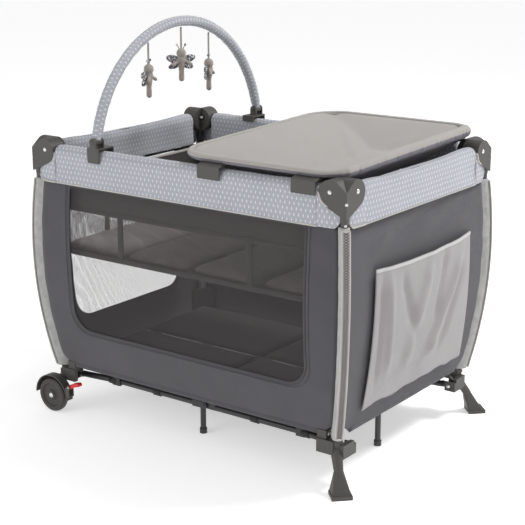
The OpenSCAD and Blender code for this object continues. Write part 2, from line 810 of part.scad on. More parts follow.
top_rail([-post_x, -short_a], 90, short_a, true);  // top_rail_left_front
top_rail([-post_x, short_a], -90, short_a, false);  // top_rail_left_back
long_floor_rail(1, -1, false);  // floor_rail_front_right
long_floor_rail(-1, -1, true);  // floor_rail_front_left
long_floor_rail(1, 1, false);  // floor_rail_back_right
long_floor_rail(-1, 1, true);  // floor_rail_back_left
short_floor_rail(1, -1, true);  // floor_rail_right_front
short_floor_rail(1, 1, false);  // floor_rail_right_back
short_floor_rail(-1, -1, true);  // floor_rail_left_front
short_floor_rail(-1, 1, false);  // floor_rail_left_back
rail_cover(half_l - lobe_reach, half_w, 180);  // rail_cover_front
rail_cover(half_l - lobe_reach, half_w, 0);  // rail_cover_back
rail_cover(half_w - lobe_reach, half_l, -90);  // rail_cover_right
rail_cover(half_w - lobe_reach, half_l, 90);  // rail_cover_left
side_panel(post_x - sleeve_side, post_y + wall_out, 180);  // side_panel_front
side_panel(post_x - sleeve_side, post_y + wall_out, 0);  // side_panel_back
side_panel(post_y - sleeve_side, post_x + wall_out, -90);  // side_panel_right
side_panel(post_y - sleeve_side, post_x + wall_out, 90);  // side_panel_left
pocket();
floor_mat();
bassinet_shell();
bassinet_mattress();
changer_frame();
changer_sling();
changer_clips();
toy_bar_clamps();
toy_bar();
toy(0);  // toy_front
toy(1);  // toy_middle
toy(2);  // toy_back
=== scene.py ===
"""Travel play yard: fabric, padding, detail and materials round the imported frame."""
import json
from math import asin, ceil, copysign, cos, exp, hypot, log, pi, radians, sin, sqrt

import bmesh
import bpy
import numpy as np
from mathutils import Matrix, Vector, noise

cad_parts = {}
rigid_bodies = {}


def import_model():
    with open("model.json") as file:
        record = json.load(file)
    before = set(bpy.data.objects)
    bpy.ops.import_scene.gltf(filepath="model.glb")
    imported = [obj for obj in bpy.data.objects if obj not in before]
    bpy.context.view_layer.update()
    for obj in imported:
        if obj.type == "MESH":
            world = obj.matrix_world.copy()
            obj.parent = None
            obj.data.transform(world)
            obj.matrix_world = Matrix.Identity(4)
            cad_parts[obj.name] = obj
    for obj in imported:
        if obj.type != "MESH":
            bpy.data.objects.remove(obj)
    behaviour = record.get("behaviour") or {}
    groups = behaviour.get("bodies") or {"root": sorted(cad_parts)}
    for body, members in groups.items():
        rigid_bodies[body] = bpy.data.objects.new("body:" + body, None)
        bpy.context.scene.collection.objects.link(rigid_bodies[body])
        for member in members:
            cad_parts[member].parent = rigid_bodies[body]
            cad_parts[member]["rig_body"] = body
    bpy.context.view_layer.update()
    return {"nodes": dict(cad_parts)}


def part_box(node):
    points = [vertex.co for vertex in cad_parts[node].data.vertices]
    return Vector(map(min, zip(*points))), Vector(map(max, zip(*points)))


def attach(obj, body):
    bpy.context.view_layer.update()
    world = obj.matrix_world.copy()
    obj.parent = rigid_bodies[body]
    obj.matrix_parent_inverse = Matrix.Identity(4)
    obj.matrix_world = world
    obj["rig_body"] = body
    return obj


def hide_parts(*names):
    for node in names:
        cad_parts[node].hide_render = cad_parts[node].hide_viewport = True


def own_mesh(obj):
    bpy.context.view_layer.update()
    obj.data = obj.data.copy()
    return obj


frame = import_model()

# ---- Sizes and places, from the frame ----
UP = Vector((0, 0, 1))
HALF_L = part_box("bracket_front_right")[1].x
HALF_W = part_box("bracket_back_right")[1].y
cover_lo, cover_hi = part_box("rail_cover_front")
COVER_LOW = cover_lo.z
COVER_TOP = cover_hi.z
DEPTH = cover_hi.y - cover_lo.y
POST_X = HALF_L - DEPTH / 2
POST_Y = HALF_W - DEPTH / 2
LONG_REACH = cover_hi.x
SHORT_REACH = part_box("rail_cover_right")[1].y
RAIL_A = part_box("top_rail_front_right")[1].x - 0.009
RAIL_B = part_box("top_rail_right_back")[1].y - 0.009
FOLD_ANGLE = radians(72)

# The posts bow outwards along each corner's diagonal
BOW_R = 1.270
BOW_Z = 0.500
BOW_OUT = 0.016


def bow(z):
    """How far the posts stand out along one axis at height z."""
    return (BOW_OUT - BOW_R + sqrt(BOW_R * BOW_R - (z - BOW_Z) ** 2)) / sqrt(2)


WALL_LONG = -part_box("side_panel_front")[0].y - bow(BOW_Z)
WALL_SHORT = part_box("side_panel_right")[1].x - bow(BOW_Z)
WALL_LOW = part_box("side_panel_right")[0].z
WALL_TOP = COVER_LOW - 0.001
POST_GAP = 0.009

# A side's fabric is drawn as seen from outside: s to the right, z up
ALONG = {"front": Vector((1, 0, 0)), "back": Vector((-1, 0, 0)),
         "right": Vector((0, 1, 0)), "left": Vector((0, -1, 0))}
SIDE_BODY = {"front": "corner_front_right", "back": "corner_back_right",
             "right": "corner_front_right", "left": "corner_front_left"}
CORNERS = {"front_right": (1, -1), "front_left": (-1, -1), "back_right": (1, 1), "back_left": (-1, 1)}


def is_long(side):
    return side in ("front", "back")


def side_face(side):
    """Distance of a side's outer face from the middle."""
    return HALF_W if is_long(side) else HALF_L


def side_reach(side):
    """Half the length of a side's rail cover."""
    return LONG_REACH if is_long(side) else SHORT_REACH


def spread(start, stop, steps):
    """Values at even steps from start to stop, both included."""
    return [start + (stop - start) * k / steps for k in range(steps + 1)]


def place(side, s, out, z):
    """Point of a side: s along it, out from the middle of the yard, z up."""
    along = ALONG[side]
    return along * s + along.cross(UP) * out + UP * z


def wall_out(side, z):
    return (WALL_LONG if is_long(side) else WALL_SHORT) + bow(z)


def wall_half(side, z):
    return (POST_X if is_long(side) else POST_Y) - POST_GAP + bow(z)


def ripple(x, y, z=0.0, size=0.1, height=0.001):
    """Smooth repeatable unevenness of cloth."""
    return height * noise.fractal(Vector((x / size, y / size, z)), 0.8, 2.1, 3)


# ---- Camera, light and floor ----

def look_from(obj, location, target):
    obj.location = location
    obj.rotation_euler = (Vector(target) - Vector(location)).to_track_quat("-Z", "Y").to_euler()
    bpy.context.scene.collection.objects.link(obj)


def make_camera():
    azimuth, elevation, distance = radians(36.18), radians(15.32), 3.727
    target = Vector((0.003, 0.002, 0.442))
    back = Vector((sin(azimuth) * cos(elevation), -cos(azimuth) * cos(elevation),
                   sin(elevation)))
    data = bpy.data.cameras.new("camera")
    data.lens = 90.7
    data.sensor_width = 36
    camera = bpy.data.objects.new("camera", data)
    look_from(camera, target + back * distance, target)
    bpy.context.scene.camera = camera


def area_light(name, location, target, size, power):
    data = bpy.data.lights.new(name, "AREA")
    data.size = size
    data.energy = power
    look_from(bpy.data.objects.new(name, data), location, target)


def light_sky(name):
    """Soft light from all round, and a pale horizon that meets the floor."""
    world = bpy.data.worlds.new(name)
    world.use_nodes = True
    tree = world.node_tree
    split = tree.nodes.new("ShaderNodeSeparateXYZ")
    ramp = tree.nodes.new("ShaderNodeMapRange")
    for socket, value in (("From Min", 0.06), ("From Max", 0.34), ("To Min", 0.97), ("To Max", 0.52)):
        ramp.inputs[socket].default_value = value
    tree.links.new(tree.nodes.new("ShaderNodeTexCoord").outputs["Generated"], split.inputs[0])
    tree.links.new(split.outputs[2], ramp.inputs[0])
    background = tree.nodes["Background"]
    background.inputs[0].default_value = (1, 1, 1, 1)
    tree.links.new(ramp.outputs[0], background.inputs[1])
    bpy.context.scene.world = world


# ---- Materials ----

def rgb(red, green, blue):
    """Linear colour from 0 to 255 display values."""
    display = (red, green, blue)
    return tuple(((c / 255 + 0.055) / 1.055) ** 2.4 if c > 10 else c / 3295 for c in display) + (1,)


def shade(colour, factor):
    return tuple(c * factor for c in colour[:3]) + (1,)


class Value:
    """A node socket's value, for plain arithmetic in a shader."""

    def __init__(self, shader, socket):
        self.shader, self.socket = shader, socket

    def __add__(self, other):
        return self.shader.math("ADD", self, other)

    def __sub__(self, other):
        return self.shader.math("SUBTRACT", self, other)

    def __mul__(self, other):
        return self.shader.math("MULTIPLY", self, other)

    def __truediv__(self, other):
        return self.shader.math("DIVIDE", self, other)

    def __gt__(self, other):
        return self.shader.math("GREATER_THAN", self, other)

    def __lt__(self, other):
        return self.shader.math("LESS_THAN", self, other)


class Shader:
    """A material's nodes, with short calls for the ones used here."""

    def __init__(self, name):
        self.material = bpy.data.materials.new(name)
        self.material.use_nodes = True
        self.tree = self.material.node_tree
        self.tree.nodes.clear()
        self.bsdf = self.tree.nodes.new("ShaderNodeBsdfPrincipled")
        self.out = self.tree.nodes.new("ShaderNodeOutputMaterial")
        self.tree.links.new(self.bsdf.outputs[0], self.out.inputs[0])

    def put(self, socket, value):
        if isinstance(value, Value):
            self.tree.links.new(value.socket, socket)
        elif isinstance(value, bpy.types.NodeSocket):
            self.tree.links.new(value, socket)
        else:
            socket.default_value = value

    def node(self, kind, **values):
        node = self.tree.nodes.new(kind)
        for key, value in values.items():
            self.put(node.inputs[key.replace("_", " ")], value)
        return node

    def math(self, kind, a, b=0.0):
        node = self.tree.nodes.new("ShaderNodeMath")
        node.operation = kind
        self.put(node.inputs[0], a)
        self.put(node.inputs[1], b)
        return Value(self, node.outputs[0])

    def mix(self, factor, a, b):
        node = self.tree.nodes.new("ShaderNodeMix")
        node.data_type = "RGBA"
        for index, value in ((0, factor), (6, a), (7, b)):
            self.put(node.inputs[index], value)
        return Value(self, node.outputs[2])

    def noise(self, vector, scale, detail=2.0):
        node = self.node("ShaderNodeTexNoise", Vector=vector, Scale=scale, Detail=detail)
        return Value(self, node.outputs[0])

    def coords(self, kind):
        return self.tree.nodes.new("ShaderNodeTexCoord").outputs[kind]

    def split(self, vector):
        node = self.node("ShaderNodeSeparateXYZ", Vector=vector)
        return Value(self, node.outputs[0]), Value(self, node.outputs[1])

    def wave(self, value, pitch):
        return self.math("SINE", value * (2 * pi / pitch))

    def cell(self, value, pitch, shift=0.0):
        """Place inside a repeating cell, from -0.5 to 0.5."""
        return self.math("FRACT", value / pitch + shift) - 0.5

    def bump(self, height, distance):
        node = self.node("ShaderNodeBump", Height=height, Distance=distance, Strength=0.8)
        self.put(self.bsdf.inputs["Normal"], node.outputs[0])

    def set(self, **values):
        for key, value in values.items():
            self.put(self.bsdf.inputs[key.replace("_", " ")], value)
        return self.material


def weave(shader, uv, pitch, depth):
    """Plain weave of warp and weft threads, with slight slubs."""
    u, v = shader.split(uv)
    threads = shader.wave(u, pitch) * shader.wave(v, pitch)
    shader.bump(threads + shader.noise(uv, 260.0) * 1.5, depth)
    return threads


def cloth(name, colour, pitch=0.0014, depth=0.00035, roughness=0.85, sheen=0.25, mottle=0.12):
    shader = Shader(name)
    uv = shader.coords("UV")
    factor = weave(shader, uv, pitch, depth) * 0.25 + shader.noise(uv, 9.0, 4.0)
    return shader.set(Base_Color=shader.mix(factor, shade(colour, 1 - mottle), shade(colour, 1 + mottle)),
                      Roughness=roughness, Sheen_Weight=sheen, Sheen_Roughness=0.5, Specular_IOR_Level=0.25)


def raindrop_cloth():
    """Light grey cloth printed with staggered rows of white drops."""
    shader = Shader("raindrop_cloth")
    uv = shader.coords("UV")
    threads = weave(shader, uv, 0.0013, 0.0003)
    u, v = shader.split(uv)
    cell_u, cell_v, drop_h, drop_w = 0.0135, 0.0130, 0.0041, 0.0020
    row = shader.math("FLOOR", v / cell_v)
    x = shader.cell(u, cell_u, shader.math("MODULO", row, 2.0) * 0.5) * cell_u
    y = shader.cell(v, cell_v) * cell_v
    taper = shader.math("SUBTRACT", 0.78, y * (0.45 / drop_h))
    across = x / (taper * drop_w)
    up = y / drop_h
    drop = across * across + up * up < 1.0
    ground = shader.mix(threads * 0.3 + shader.noise(uv, 11.0, 4.0), rgb(158, 161, 169), rgb(174, 177, 184))
    return shader.set(Base_Color=shader.mix(drop, ground, rgb(216, 218, 222)), Roughness=0.88,
                      Sheen_Weight=0.3, Specular_IOR_Level=0.2)


def heather_cloth():
    """Grey melange knit of the post sleeves."""
    shader = Shader("heather_cloth")
    uv = shader.coords("UV")
    u, v = shader.split(uv)
    stretched = shader.node("ShaderNodeCombineXYZ", X=u * 0.35, Y=v, Z=0.0)
    factor = shader.noise(stretched.outputs[0], 900.0, 3.0) * 0.5 + shader.noise(uv, 45.0, 3.0) * 0.85
    weave(shader, uv, 0.0016, 0.0004)
    return shader.set(Base_Color=shader.mix(factor, rgb(118, 119, 120), rgb(196, 196, 194)), Roughness=0.9,
                      Sheen_Weight=0.35)


def net_cloth(name, colour, cell=0.0024, thread=0.13, weft=0.16):
    """Open mesh: the gaps between the threads are clear."""
    shader = Shader(name)
    u, v = shader.split(shader.coords("UV"))
    x = shader.math("ABSOLUTE", shader.cell(u, cell))
    y = shader.math("ABSOLUTE", shader.cell(v, cell))
    solid = shader.math("MAXIMUM", x > 0.5 - thread / 2, y > 0.5 - weft / 2)
    shader.bump(x + y, 0.0003)
    clear = shader.node("ShaderNodeBsdfTransparent")
    mix = shader.node("ShaderNodeMixShader")
    for index, value in enumerate((solid, clear.outputs[0], shader.bsdf.outputs[0])):
        shader.put(mix.inputs[index], value)
    shader.put(shader.out.inputs[0], mix.outputs[0])
    return shader.set(Base_Color=colour, Roughness=0.8, Sheen_Weight=0.3)


def plush_cloth(name, colour, spots=None):
    """Short pile, in one colour or with paler flecks."""
    shader = Shader(name)
    here = shader.coords("Object")
    pile = shader.noise(here, 900.0, 4.0)
    base = shader.mix(pile, shade(colour, 0.7), shade(colour, 1.25))
    if spots:
        base = shader.mix(shader.noise(here, 210.0, 1.0) > 0.56, base, spots)
    shader.bump(pile, 0.0012)
    return shader.set(Base_Color=base, Roughness=0.95, Sheen_Weight=0.7, Sheen_Roughness=0.4,
                      Specular_IOR_Level=0.1)


def plastic(name, colour, roughness=0.48, grain=0.00012):
    """Moulded plastic with a fine grain and rubbed lighter patches."""
    shader = Shader(name)
    here = shader.coords("Object")
    broad = shader.noise(here, 14.0, 4.0)
    shader.bump(shader.noise(here, 1400.0, 2.0), grain)
    return shader.set(Base_Color=shader.mix(broad, shade(colour, 0.86), shade(colour, 1.14)),
                      Roughness=broad * 0.16 + (roughness - 0.08), Specular_IOR_Level=0.45)


def painted_metal(name, colour):
    """Powder coat: slight orange peel and a satin gloss."""
    shader = Shader(name)
    here = shader.coords("Object")
    worn = shader.noise(here, 30.0, 5.0)
    shader.bump(shader.noise(here, 500.0, 2.0), 0.00015)
    return shader.set(Base_Color=shader.mix(worn, shade(colour, 0.8), shade(colour, 1.3)), Metallic=0.15,
                      Roughness=worn * 0.2 + 0.28, Coat_Weight=0.2)


def bright_steel():
    shader = Shader("bright_steel")
    brushed = shader.noise(shader.coords("Object"), 1200.0, 3.0)
    shader.bump(brushed, 0.00006)
    return shader.set(Base_Color=shader.mix(brushed, rgb(188, 188, 190), rgb(232, 232, 234)), Metallic=1.0,
                      Roughness=brushed * 0.2 + 0.18)


RAINDROP = raindrop_cloth()
HEATHER = heather_cloth()
SLATE = cloth("slate_nylon", rgb(73, 71, 76), pitch=0.0013)
LINING = cloth("dark_lining", rgb(62, 59, 58))
BINDING = cloth("dark_binding", rgb(62, 61, 65), pitch=0.0016)
PIPING = cloth("beige_piping", rgb(198, 194, 190), pitch=0.0011)
TAUPE = cloth("taupe_cloth", rgb(171, 166, 162), pitch=0.0012, sheen=0.35, mottle=0.05)
UNDERSIDE = cloth("changer_underside", rgb(112, 108, 116))
POCKET = cloth("pocket_cloth", rgb(156, 152, 153), pitch=0.0012, roughness=0.7, sheen=0.4, mottle=0.04)
ELASTIC = cloth("elastic_edge", rgb(208, 207, 207), pitch=0.0018, depth=0.0006)
MATTRESS = cloth("mattress_cloth", rgb(148, 141, 137), pitch=0.002)
MAT = cloth("floor_mat_cloth", rgb(58, 54, 52), pitch=0.002)
STRAP = cloth("strap_webbing", rgb(60, 57, 56), pitch=0.0022, depth=0.0006)
RIBBON = cloth("ribbon", rgb(150, 146, 142), pitch=0.001)
NET = net_cloth("window_mesh", rgb(70, 66, 66), thread=0.18, weft=0.2)
NET_DARK = net_cloth("bassinet_mesh", rgb(58, 54, 53), thread=0.2, weft=0.26)
PLASTIC = plastic("taupe_plastic", rgb(68, 66, 63))
WHEEL = plastic("wheel_plastic", rgb(50, 46, 44), roughness=0.4)
RED = plastic("red_plastic", rgb(200, 34, 42), roughness=0.3, grain=0.00004)
BLACK = plastic("black_rubber", rgb(34, 34, 35), roughness=0.6)
TUBE = painted_metal("black_powder_coat", rgb(44, 44, 46))
STEEL = bright_steel()
PLUSH = plush_cloth("taupe_plush", rgb(156, 148, 142))
WINGS = plush_cloth("wing_plush", rgb(96, 96, 102), spots=rgb(206, 206, 208))


# ---- Mesh helpers ----

def new_mesh(name, verts, faces, uvs=None):
    mesh = bpy.data.meshes.new(name)
    mesh.from_pydata([tuple(v) for v in verts], [], faces)
    if uvs:
        layer = mesh.uv_layers.new(name="metres")
        layer.data.foreach_set("uv", [c for uv in uvs for c in uv])
    mesh.polygons.foreach_set("use_smooth", [True] * len(mesh.polygons))
    mesh.update()
    obj = bpy.data.objects.new(name, mesh)
    bpy.context.scene.collection.objects.link(obj)
    return obj


def lengths(points):
    total, sums = 0.0, [0.0]
    for a, b in zip(points, points[1:]):
        total += (Vector(b) - Vector(a)).length
        sums.append(total)
    return sums


def grid(name, rows, ring=False, uv=None, caps=False):
    """Surface through rows of points, with texture coordinates in metres; ring closes each row on itself."""
    m, n = len(rows), len(rows[0])
    cols = n if ring else n - 1
    if uv is None:
        middle = rows[m // 2]
        across = lengths([middle[j % n] for j in range(cols + 1)])
        along = lengths([row[0] for row in rows])
        uv = [[(along[i], across[j]) for j in range(cols + 1)] for i in range(m)]
    verts = [p for row in rows for p in row]
    faces, uvs = [], []
    for i in range(m - 1):
        for j in range(cols):
            faces.append((i * n + j, i * n + (j + 1) % n, (i + 1) * n + (j + 1) % n, (i + 1) * n + j))
            uvs += [uv[i][j], uv[i][j + 1], uv[i + 1][j + 1], uv[i + 1][j]]
    if caps:
        for i, turn in ((0, -1), (m - 1, 1)):
            centre = sum((Vector(p) for p in rows[i]), Vector()) / n
            verts.append(centre)
            for j in range(n):
                pair = (i * n + j, i * n + (j + 1) % n)[::turn]
                faces.append((*pair, len(verts) - 1))
                uvs += [uv[i][j], uv[i][j + 1], uv[i][j]]
    return new_mesh(name, verts, faces, uvs)


def weld(obj, distance=1e-6, outward=False, close=False, flatten=False):
    """Joins points that meet; can also merge flat faces, close open rims and turn all faces outwards."""
    bm = bmesh.new()
    bm.from_mesh(obj.data)
    bmesh.ops.remove_doubles(bm, verts=bm.verts, dist=distance)
    if flatten:
        bmesh.ops.dissolve_limit(bm, angle_limit=radians(1), verts=bm.verts, edges=bm.edges)
    if close:
        bmesh.ops.holes_fill(bm, edges=bm.edges)
    if outward:
        bmesh.ops.recalc_face_normals(bm, faces=bm.faces)
    bm.to_mesh(obj.data)
    bm.free()
    return obj


def resample(path, count):
    """count points at even spacing along a path, its start included and its end not."""
    sums = lengths(path)
    points, k = [], 0
    for i in range(count):
        want = sums[-1] * i / count
        while sums[k + 1] < want:
            k += 1
        t = (want - sums[k]) / max(1e-9, sums[k + 1] - sums[k])
        points.append(Vector(path[k]).lerp(Vector(path[k + 1]), t))
    return points


def swept(name, path, section, out=None, ring=False):
    """Sweeps a closed section, given as (side, out) pairs, along a path; out is the outward way."""
    rows, count = [], len(path)
    turn = None
    for i, p in enumerate(path):
        before = path[(i - 1) % count] if ring or i else p
        after = path[(i + 1) % count] if ring or i < count - 1 else p
        tangent = (after - before).normalized()
        if out:
            normal = out(p) if callable(out) else out
        else:
            normal = turn or (UP if abs(tangent.z) < 0.9 else Vector((1, 0, 0)))
        normal = (normal - tangent * normal.dot(tangent)).normalized()
        turn = normal
        side = tangent.cross(normal)
        shape = section(i / max(1, count - 1)) if callable(section) else section
        rows.append([p + side * a + normal * b for a, b in shape])
    if ring:
        rows.append(rows[0])
    return weld(grid(name, rows, ring=True, caps=not ring), outward=True)


def turns(count):
    """Angles at even steps round a circle."""
    return [2 * pi * k / count for k in range(count)]


def arc(x, y, radius, first, sweep, steps):
    """Flat points along an arc, its angles in degrees."""
    angles = [radians(first + sweep * k / steps) for k in range(steps + 1)]
    return [Vector((x + radius * cos(a), y + radius * sin(a), 0)) for a in angles]


def even_loop(points, spacing):
    """A closed outline with its points at even spacing."""
    loop = points + points[:1]
    return resample(loop, round(lengths(loop)[-1] / spacing))


def disc(radius, count=10):
    return [(radius * cos(a), radius * sin(a)) for a in turns(count)]


def flat_band(width, thick, count=4):
    """Section of a band with rounded edges."""
    ends = []
    for side in (1, -1):
        for k in range(count + 1):
            angle = side * (pi / 2 - pi * k / count)
            ends.append((side * (width - thick) / 2 + side * abs(cos(angle)) * thick / 2,
                         sin(angle) * thick / 2))
    return ends


def lathe(name, profile, centre, count=64):
    """Turns a profile of (along, radius) points round the Y axis through centre."""
    rows = [[centre + Vector((radius * cos(a), along, radius * sin(a))) for a in turns(count)]
            for along, radius in profile]
    return weld(grid(name, rows, ring=True), outward=True, close=True)


def thicken(obj, thickness):
    modifier = obj.modifiers.new("thickness", "SOLIDIFY")
    modifier.thickness = thickness
    modifier.offset = -1
    return obj


def smooth(obj, levels=1):
    modifier = obj.modifiers.new("smooth", "SUBSURF")
    modifier.levels = levels
    modifier.render_levels = levels
    return obj


def round_edges(obj, width, segments=2, angle=30):
    modifier = obj.modifiers.new("edges", "BEVEL")
    modifier.width = width
    modifier.segments = segments
    modifier.limit_method = "ANGLE"
    modifier.angle_limit = radians(angle)


def dress(obj, material, body, slot, *nodes):
    """Gives a piece its material and body, and hides the nodes that it stands for; slot is not used."""
    if not obj.data.materials:
        obj.data.materials.append(material)
    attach(obj, body)
    if nodes:
        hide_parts(*nodes)
    return obj


def trim(name, path, section, material, body, slot, out=None, ring=False):
    """Piping, tape or cord: a section swept along a path."""
    return dress(swept(name, path, section, out, ring), material, body, slot)


def gather(obj, side, reach):
    """Works out the length that one side's fabric loses as the yard folds, and gives the piece its own mesh.
    """
    length = 2 * (RAIL_A if is_long(side) else RAIL_B) * (1 - cos(FOLD_ANGLE))
    keep = 1 - length / (2 * reach) - 0.006
    if is_long(side):
        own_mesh(obj)
    else:
        -reach
        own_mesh(obj)
    return obj


def inflate(pieces, pressure, cap, frames=20):
    """Cloth simulation under pressure: padding swells between its seams, no point by more than cap."""
    scene = bpy.context.scene
    for obj in pieces:
        modifier = obj.modifiers.new("cloth", "CLOTH")
        modifier.settings.use_pressure = True
        modifier.settings.uniform_pressure_force = pressure
        modifier.settings.effector_weights.gravity = 0
        modifier.settings.vertex_group_mass = "seams"
        modifier.collision_settings.use_collision = False
        modifier.point_cache.frame_end = frames
    for number in range(1, frames + 1):
        scene.frame_set(number)
    graph = bpy.context.evaluated_depsgraph_get()
    for obj in pieces:
        count = len(obj.data.vertices)
        rest, swollen = np.zeros(count * 3), np.zeros(count * 3)
        obj.data.vertices.foreach_get("co", rest)
        obj.evaluated_get(graph).data.vertices.foreach_get("co", swollen)
        rest, swollen = rest.reshape(-1, 3), swollen.reshape(-1, 3)
        step = swollen - rest
        size = np.linalg.norm(step, axis=1, keepdims=True)
        step *= np.minimum(1.0, cap / np.maximum(size, 1e-9))
        obj.modifiers.remove(obj.modifiers["cloth"])
        obj.data.vertices.foreach_set("co", (rest + step).ravel())
        obj.data.update()
    scene.frame_set(1)


def hold(obj, picked):
    """Marks the points that a seam keeps in place."""
    group = obj.vertex_groups.new(name="seams")
    group.add([i for i, v in enumerate(obj.data.vertices) if picked(v.co)], 1.0, "REPLACE")


# ---- Hard parts ----

def refined(node, material, slot, bevel=0.0012, segments=2):
    """The CAD part itself with its edges rounded off."""
    source = frame["nodes"][node]
    obj = bpy.data.objects.new(node + "_shaped", source.data.copy())
    bpy.context.scene.collection.objects.link(obj)
    weld(obj, 1e-5, flatten=True)
    obj.data.materials.clear()
    obj.data.materials.append(material)
    obj.data.polygons.foreach_set("use_smooth", [True] * len(obj.data.polygons))
    round_edges(obj, bevel, segments, 32)
    obj.modifiers.new("normals", "WEIGHTED_NORMAL")
    return dress(obj, material, source["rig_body"], slot, node)


def make_hard_parts():
    for name, node in frame["nodes"].items():
        if name.startswith(("top_rail", "floor_rail", "post_", "rivets")):
            node.data.materials.clear()
            node.data.materials.append(STEEL if name.startswith("rivets") else TUBE)
        elif name.startswith("bracket"):
            refined(name, PLASTIC, "taupe_plastic", bevel=0.0026, segments=3)
        elif name.startswith(("foot", "caster_fork")):
            refined(name, PLASTIC, "taupe_plastic", bevel=0.0014)
        elif name in ("changer_clips", "toy_bar_clamps"):
            refined(name, PLASTIC, "taupe_plastic", bevel=0.0012)
        elif name.startswith("brake_lever"):
            refined(name, RED, "red_lever", bevel=0.002, segments=3)


SCREW_PROFILE = ((0.0, 1.0), (0.35, 0.95), (0.62, 0.7), (0.72, 0.35), (0.5, 0.25), (0.45, 0.02))
HEART_SCREW_Z = 0.744
CONE_SCREW_Z = 0.691


def screw(name, centre, axis, body, radius):
    """Domed screw head; axis points out of the surface."""
    side = axis.orthogonal().normalized()
    other = axis.cross(side)
    rows = [[centre + axis * (height * radius * 0.8) + (side * cos(a) + other * sin(a)) * r * radius
             for a in turns(16)] for height, r in SCREW_PROFILE]
    dress(grid(name, rows, ring=True), STEEL, body, "rivet_steel")


def make_bracket_screws():
    """Screws on the fold of each heart and on the cone under it."""
    for corner, (sx, sy) in CORNERS.items():
        axis = Vector((sx, sy, 0)).normalized()
        edge = Vector((sx * (HALF_L - 0.0006), sy * (HALF_W - 0.0006), 0))
        heart = edge + UP * HEART_SCREW_Z - axis * 0.0005
        screw("heart_screw_" + corner, heart, axis, "corner_" + corner, 0.0040)
        cone = Vector((sx * (HALF_L - 0.013), sy * (HALF_W - 0.013), CONE_SCREW_Z))
        screw("cone_screw_" + corner, cone + axis * 0.0085, axis, "corner_" + corner, 0.0035)


# Half of a wheel's section, as shares of half its width and of its radius
WHEEL_FACE = [(0.55, 0.09), (0.86, 0.10), (0.90, 0.28), (0.58, 0.31), (0.58, 0.66), (0.86, 0.69),
              (0.92, 0.72), (0.97, 0.86), (0.88, 0.93), (0.62, 0.985), (0.2, 1.0)]


def make_wheels():
    for name, sy in (("wheel_front", -1), ("wheel_back", 1)):
        lo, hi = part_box(name)
        centre = (lo + hi) / 2
        r, w = (hi.x - lo.x) / 2, (hi.y - lo.y) / 2
        outer = [(sy * a * w, b * r) for a, b in WHEEL_FACE]
        inner = [(-sy * a * w, b * r) for a, b in reversed(WHEEL_FACE)]
        wheel = lathe(name + "_tyre", outer + inner, centre)
        round_edges(wheel, 0.0008)
        dress(wheel, WHEEL, name, "wheel_plastic", name)


# ---- Rail covers ----

PAD = 0.0095
STEP = 0.0065
PIPING_R = 0.0028
COVER_MIDDLE = Vector((-DEPTH / 2, 0.735))


def cover_ring(dip):
    """Closed section of a padded cover as (out, z) pairs: out is 0 on the outer face, negative inwards."""
    r = DEPTH / 2
    crown = COVER_TOP - r - dip

    def skin(inset, low_out, low_in, count):
        path = [(-inset, low_out, 0)] + arc(-r, crown, r - inset, 0, 180, 14) + [(-DEPTH + inset, low_in, 0)]
        return [(p.x, p.y) for p in resample(path, count)] + [path[-1][:2]]

    outer = skin(0.0, COVER_LOW + 0.002, COVER_LOW + 0.006, 38)
    inner = skin(PAD, COVER_LOW + 0.001, COVER_LOW + 0.005, 34)
    return outer + inner[::-1]


def make_cover(side):
    half = side_reach(side) - 0.002
    out = side_face(side)
    sag = 0.0 if is_long(side) else 0.005
    count = round(2 * half / STEP)
    seed = len(side) * 3.7
    rows = []
    for i in range(count + 1):
        s = -half + 2 * half * i / count
        end = min(1.0, (half - abs(s)) / 0.02)
        ring = cover_ring(sag * (1 - (s / half) ** 2))
        row = []
        for j, (o, z) in enumerate(ring):
            away = (Vector((o, z)) - COVER_MIDDLE).normalized()
            bulge = -0.0012 - 0.002 * (1 - end) + ripple(s, j * STEP, seed, 0.07, 0.0012)
            row.append(place(side, s, out + o + away.x * bulge, z + away.y * bulge))
        rows.append(row)
    obj = grid("rail_cover_%s_padded" % side, rows, ring=True, caps=True)
    hold(obj, lambda p: p.z < COVER_LOW + 0.006)
    return obj


def make_covers():
    made = {side: make_cover(side) for side in ALONG}
    inflate(made.values(), pressure=3.0, cap=0.0022)
    for side, obj in made.items():
        reach = side_reach(side)
        dress(obj, RAINDROP, SIDE_BODY[side], "rail_cover_cloth", "rail_cover_" + side)
        gather(obj, side, reach)
        out = side_face(side) - 0.0030
        path = [place(side, s, out, COVER_LOW + 0.0018) for s in spread(0.003 - reach, reach - 0.003, 60)]
        piping = trim("cover_piping_" + side, path, disc(PIPING_R, 8), PIPING, SIDE_BODY[side],
                      "taupe_cloth", UP)
        gather(piping, side, reach)


BRACKET_LO, BRACKET_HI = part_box("bracket_front_right")
LOBE_R = 0.034
LOBE_U = HALF_L - BRACKET_LO.x - LOBE_R
LOBE_Z = BRACKET_HI.z - LOBE_R


def under_heart(d):
    """Height of a bracket heart's lower edge, at distance d from the corner."""
    if d < LOBE_U + 0.014:
        return 0.705 + 0.466 * d
    return LOBE_Z - sqrt(max(0.0, LOBE_R ** 2 - (d - LOBE_U) ** 2))


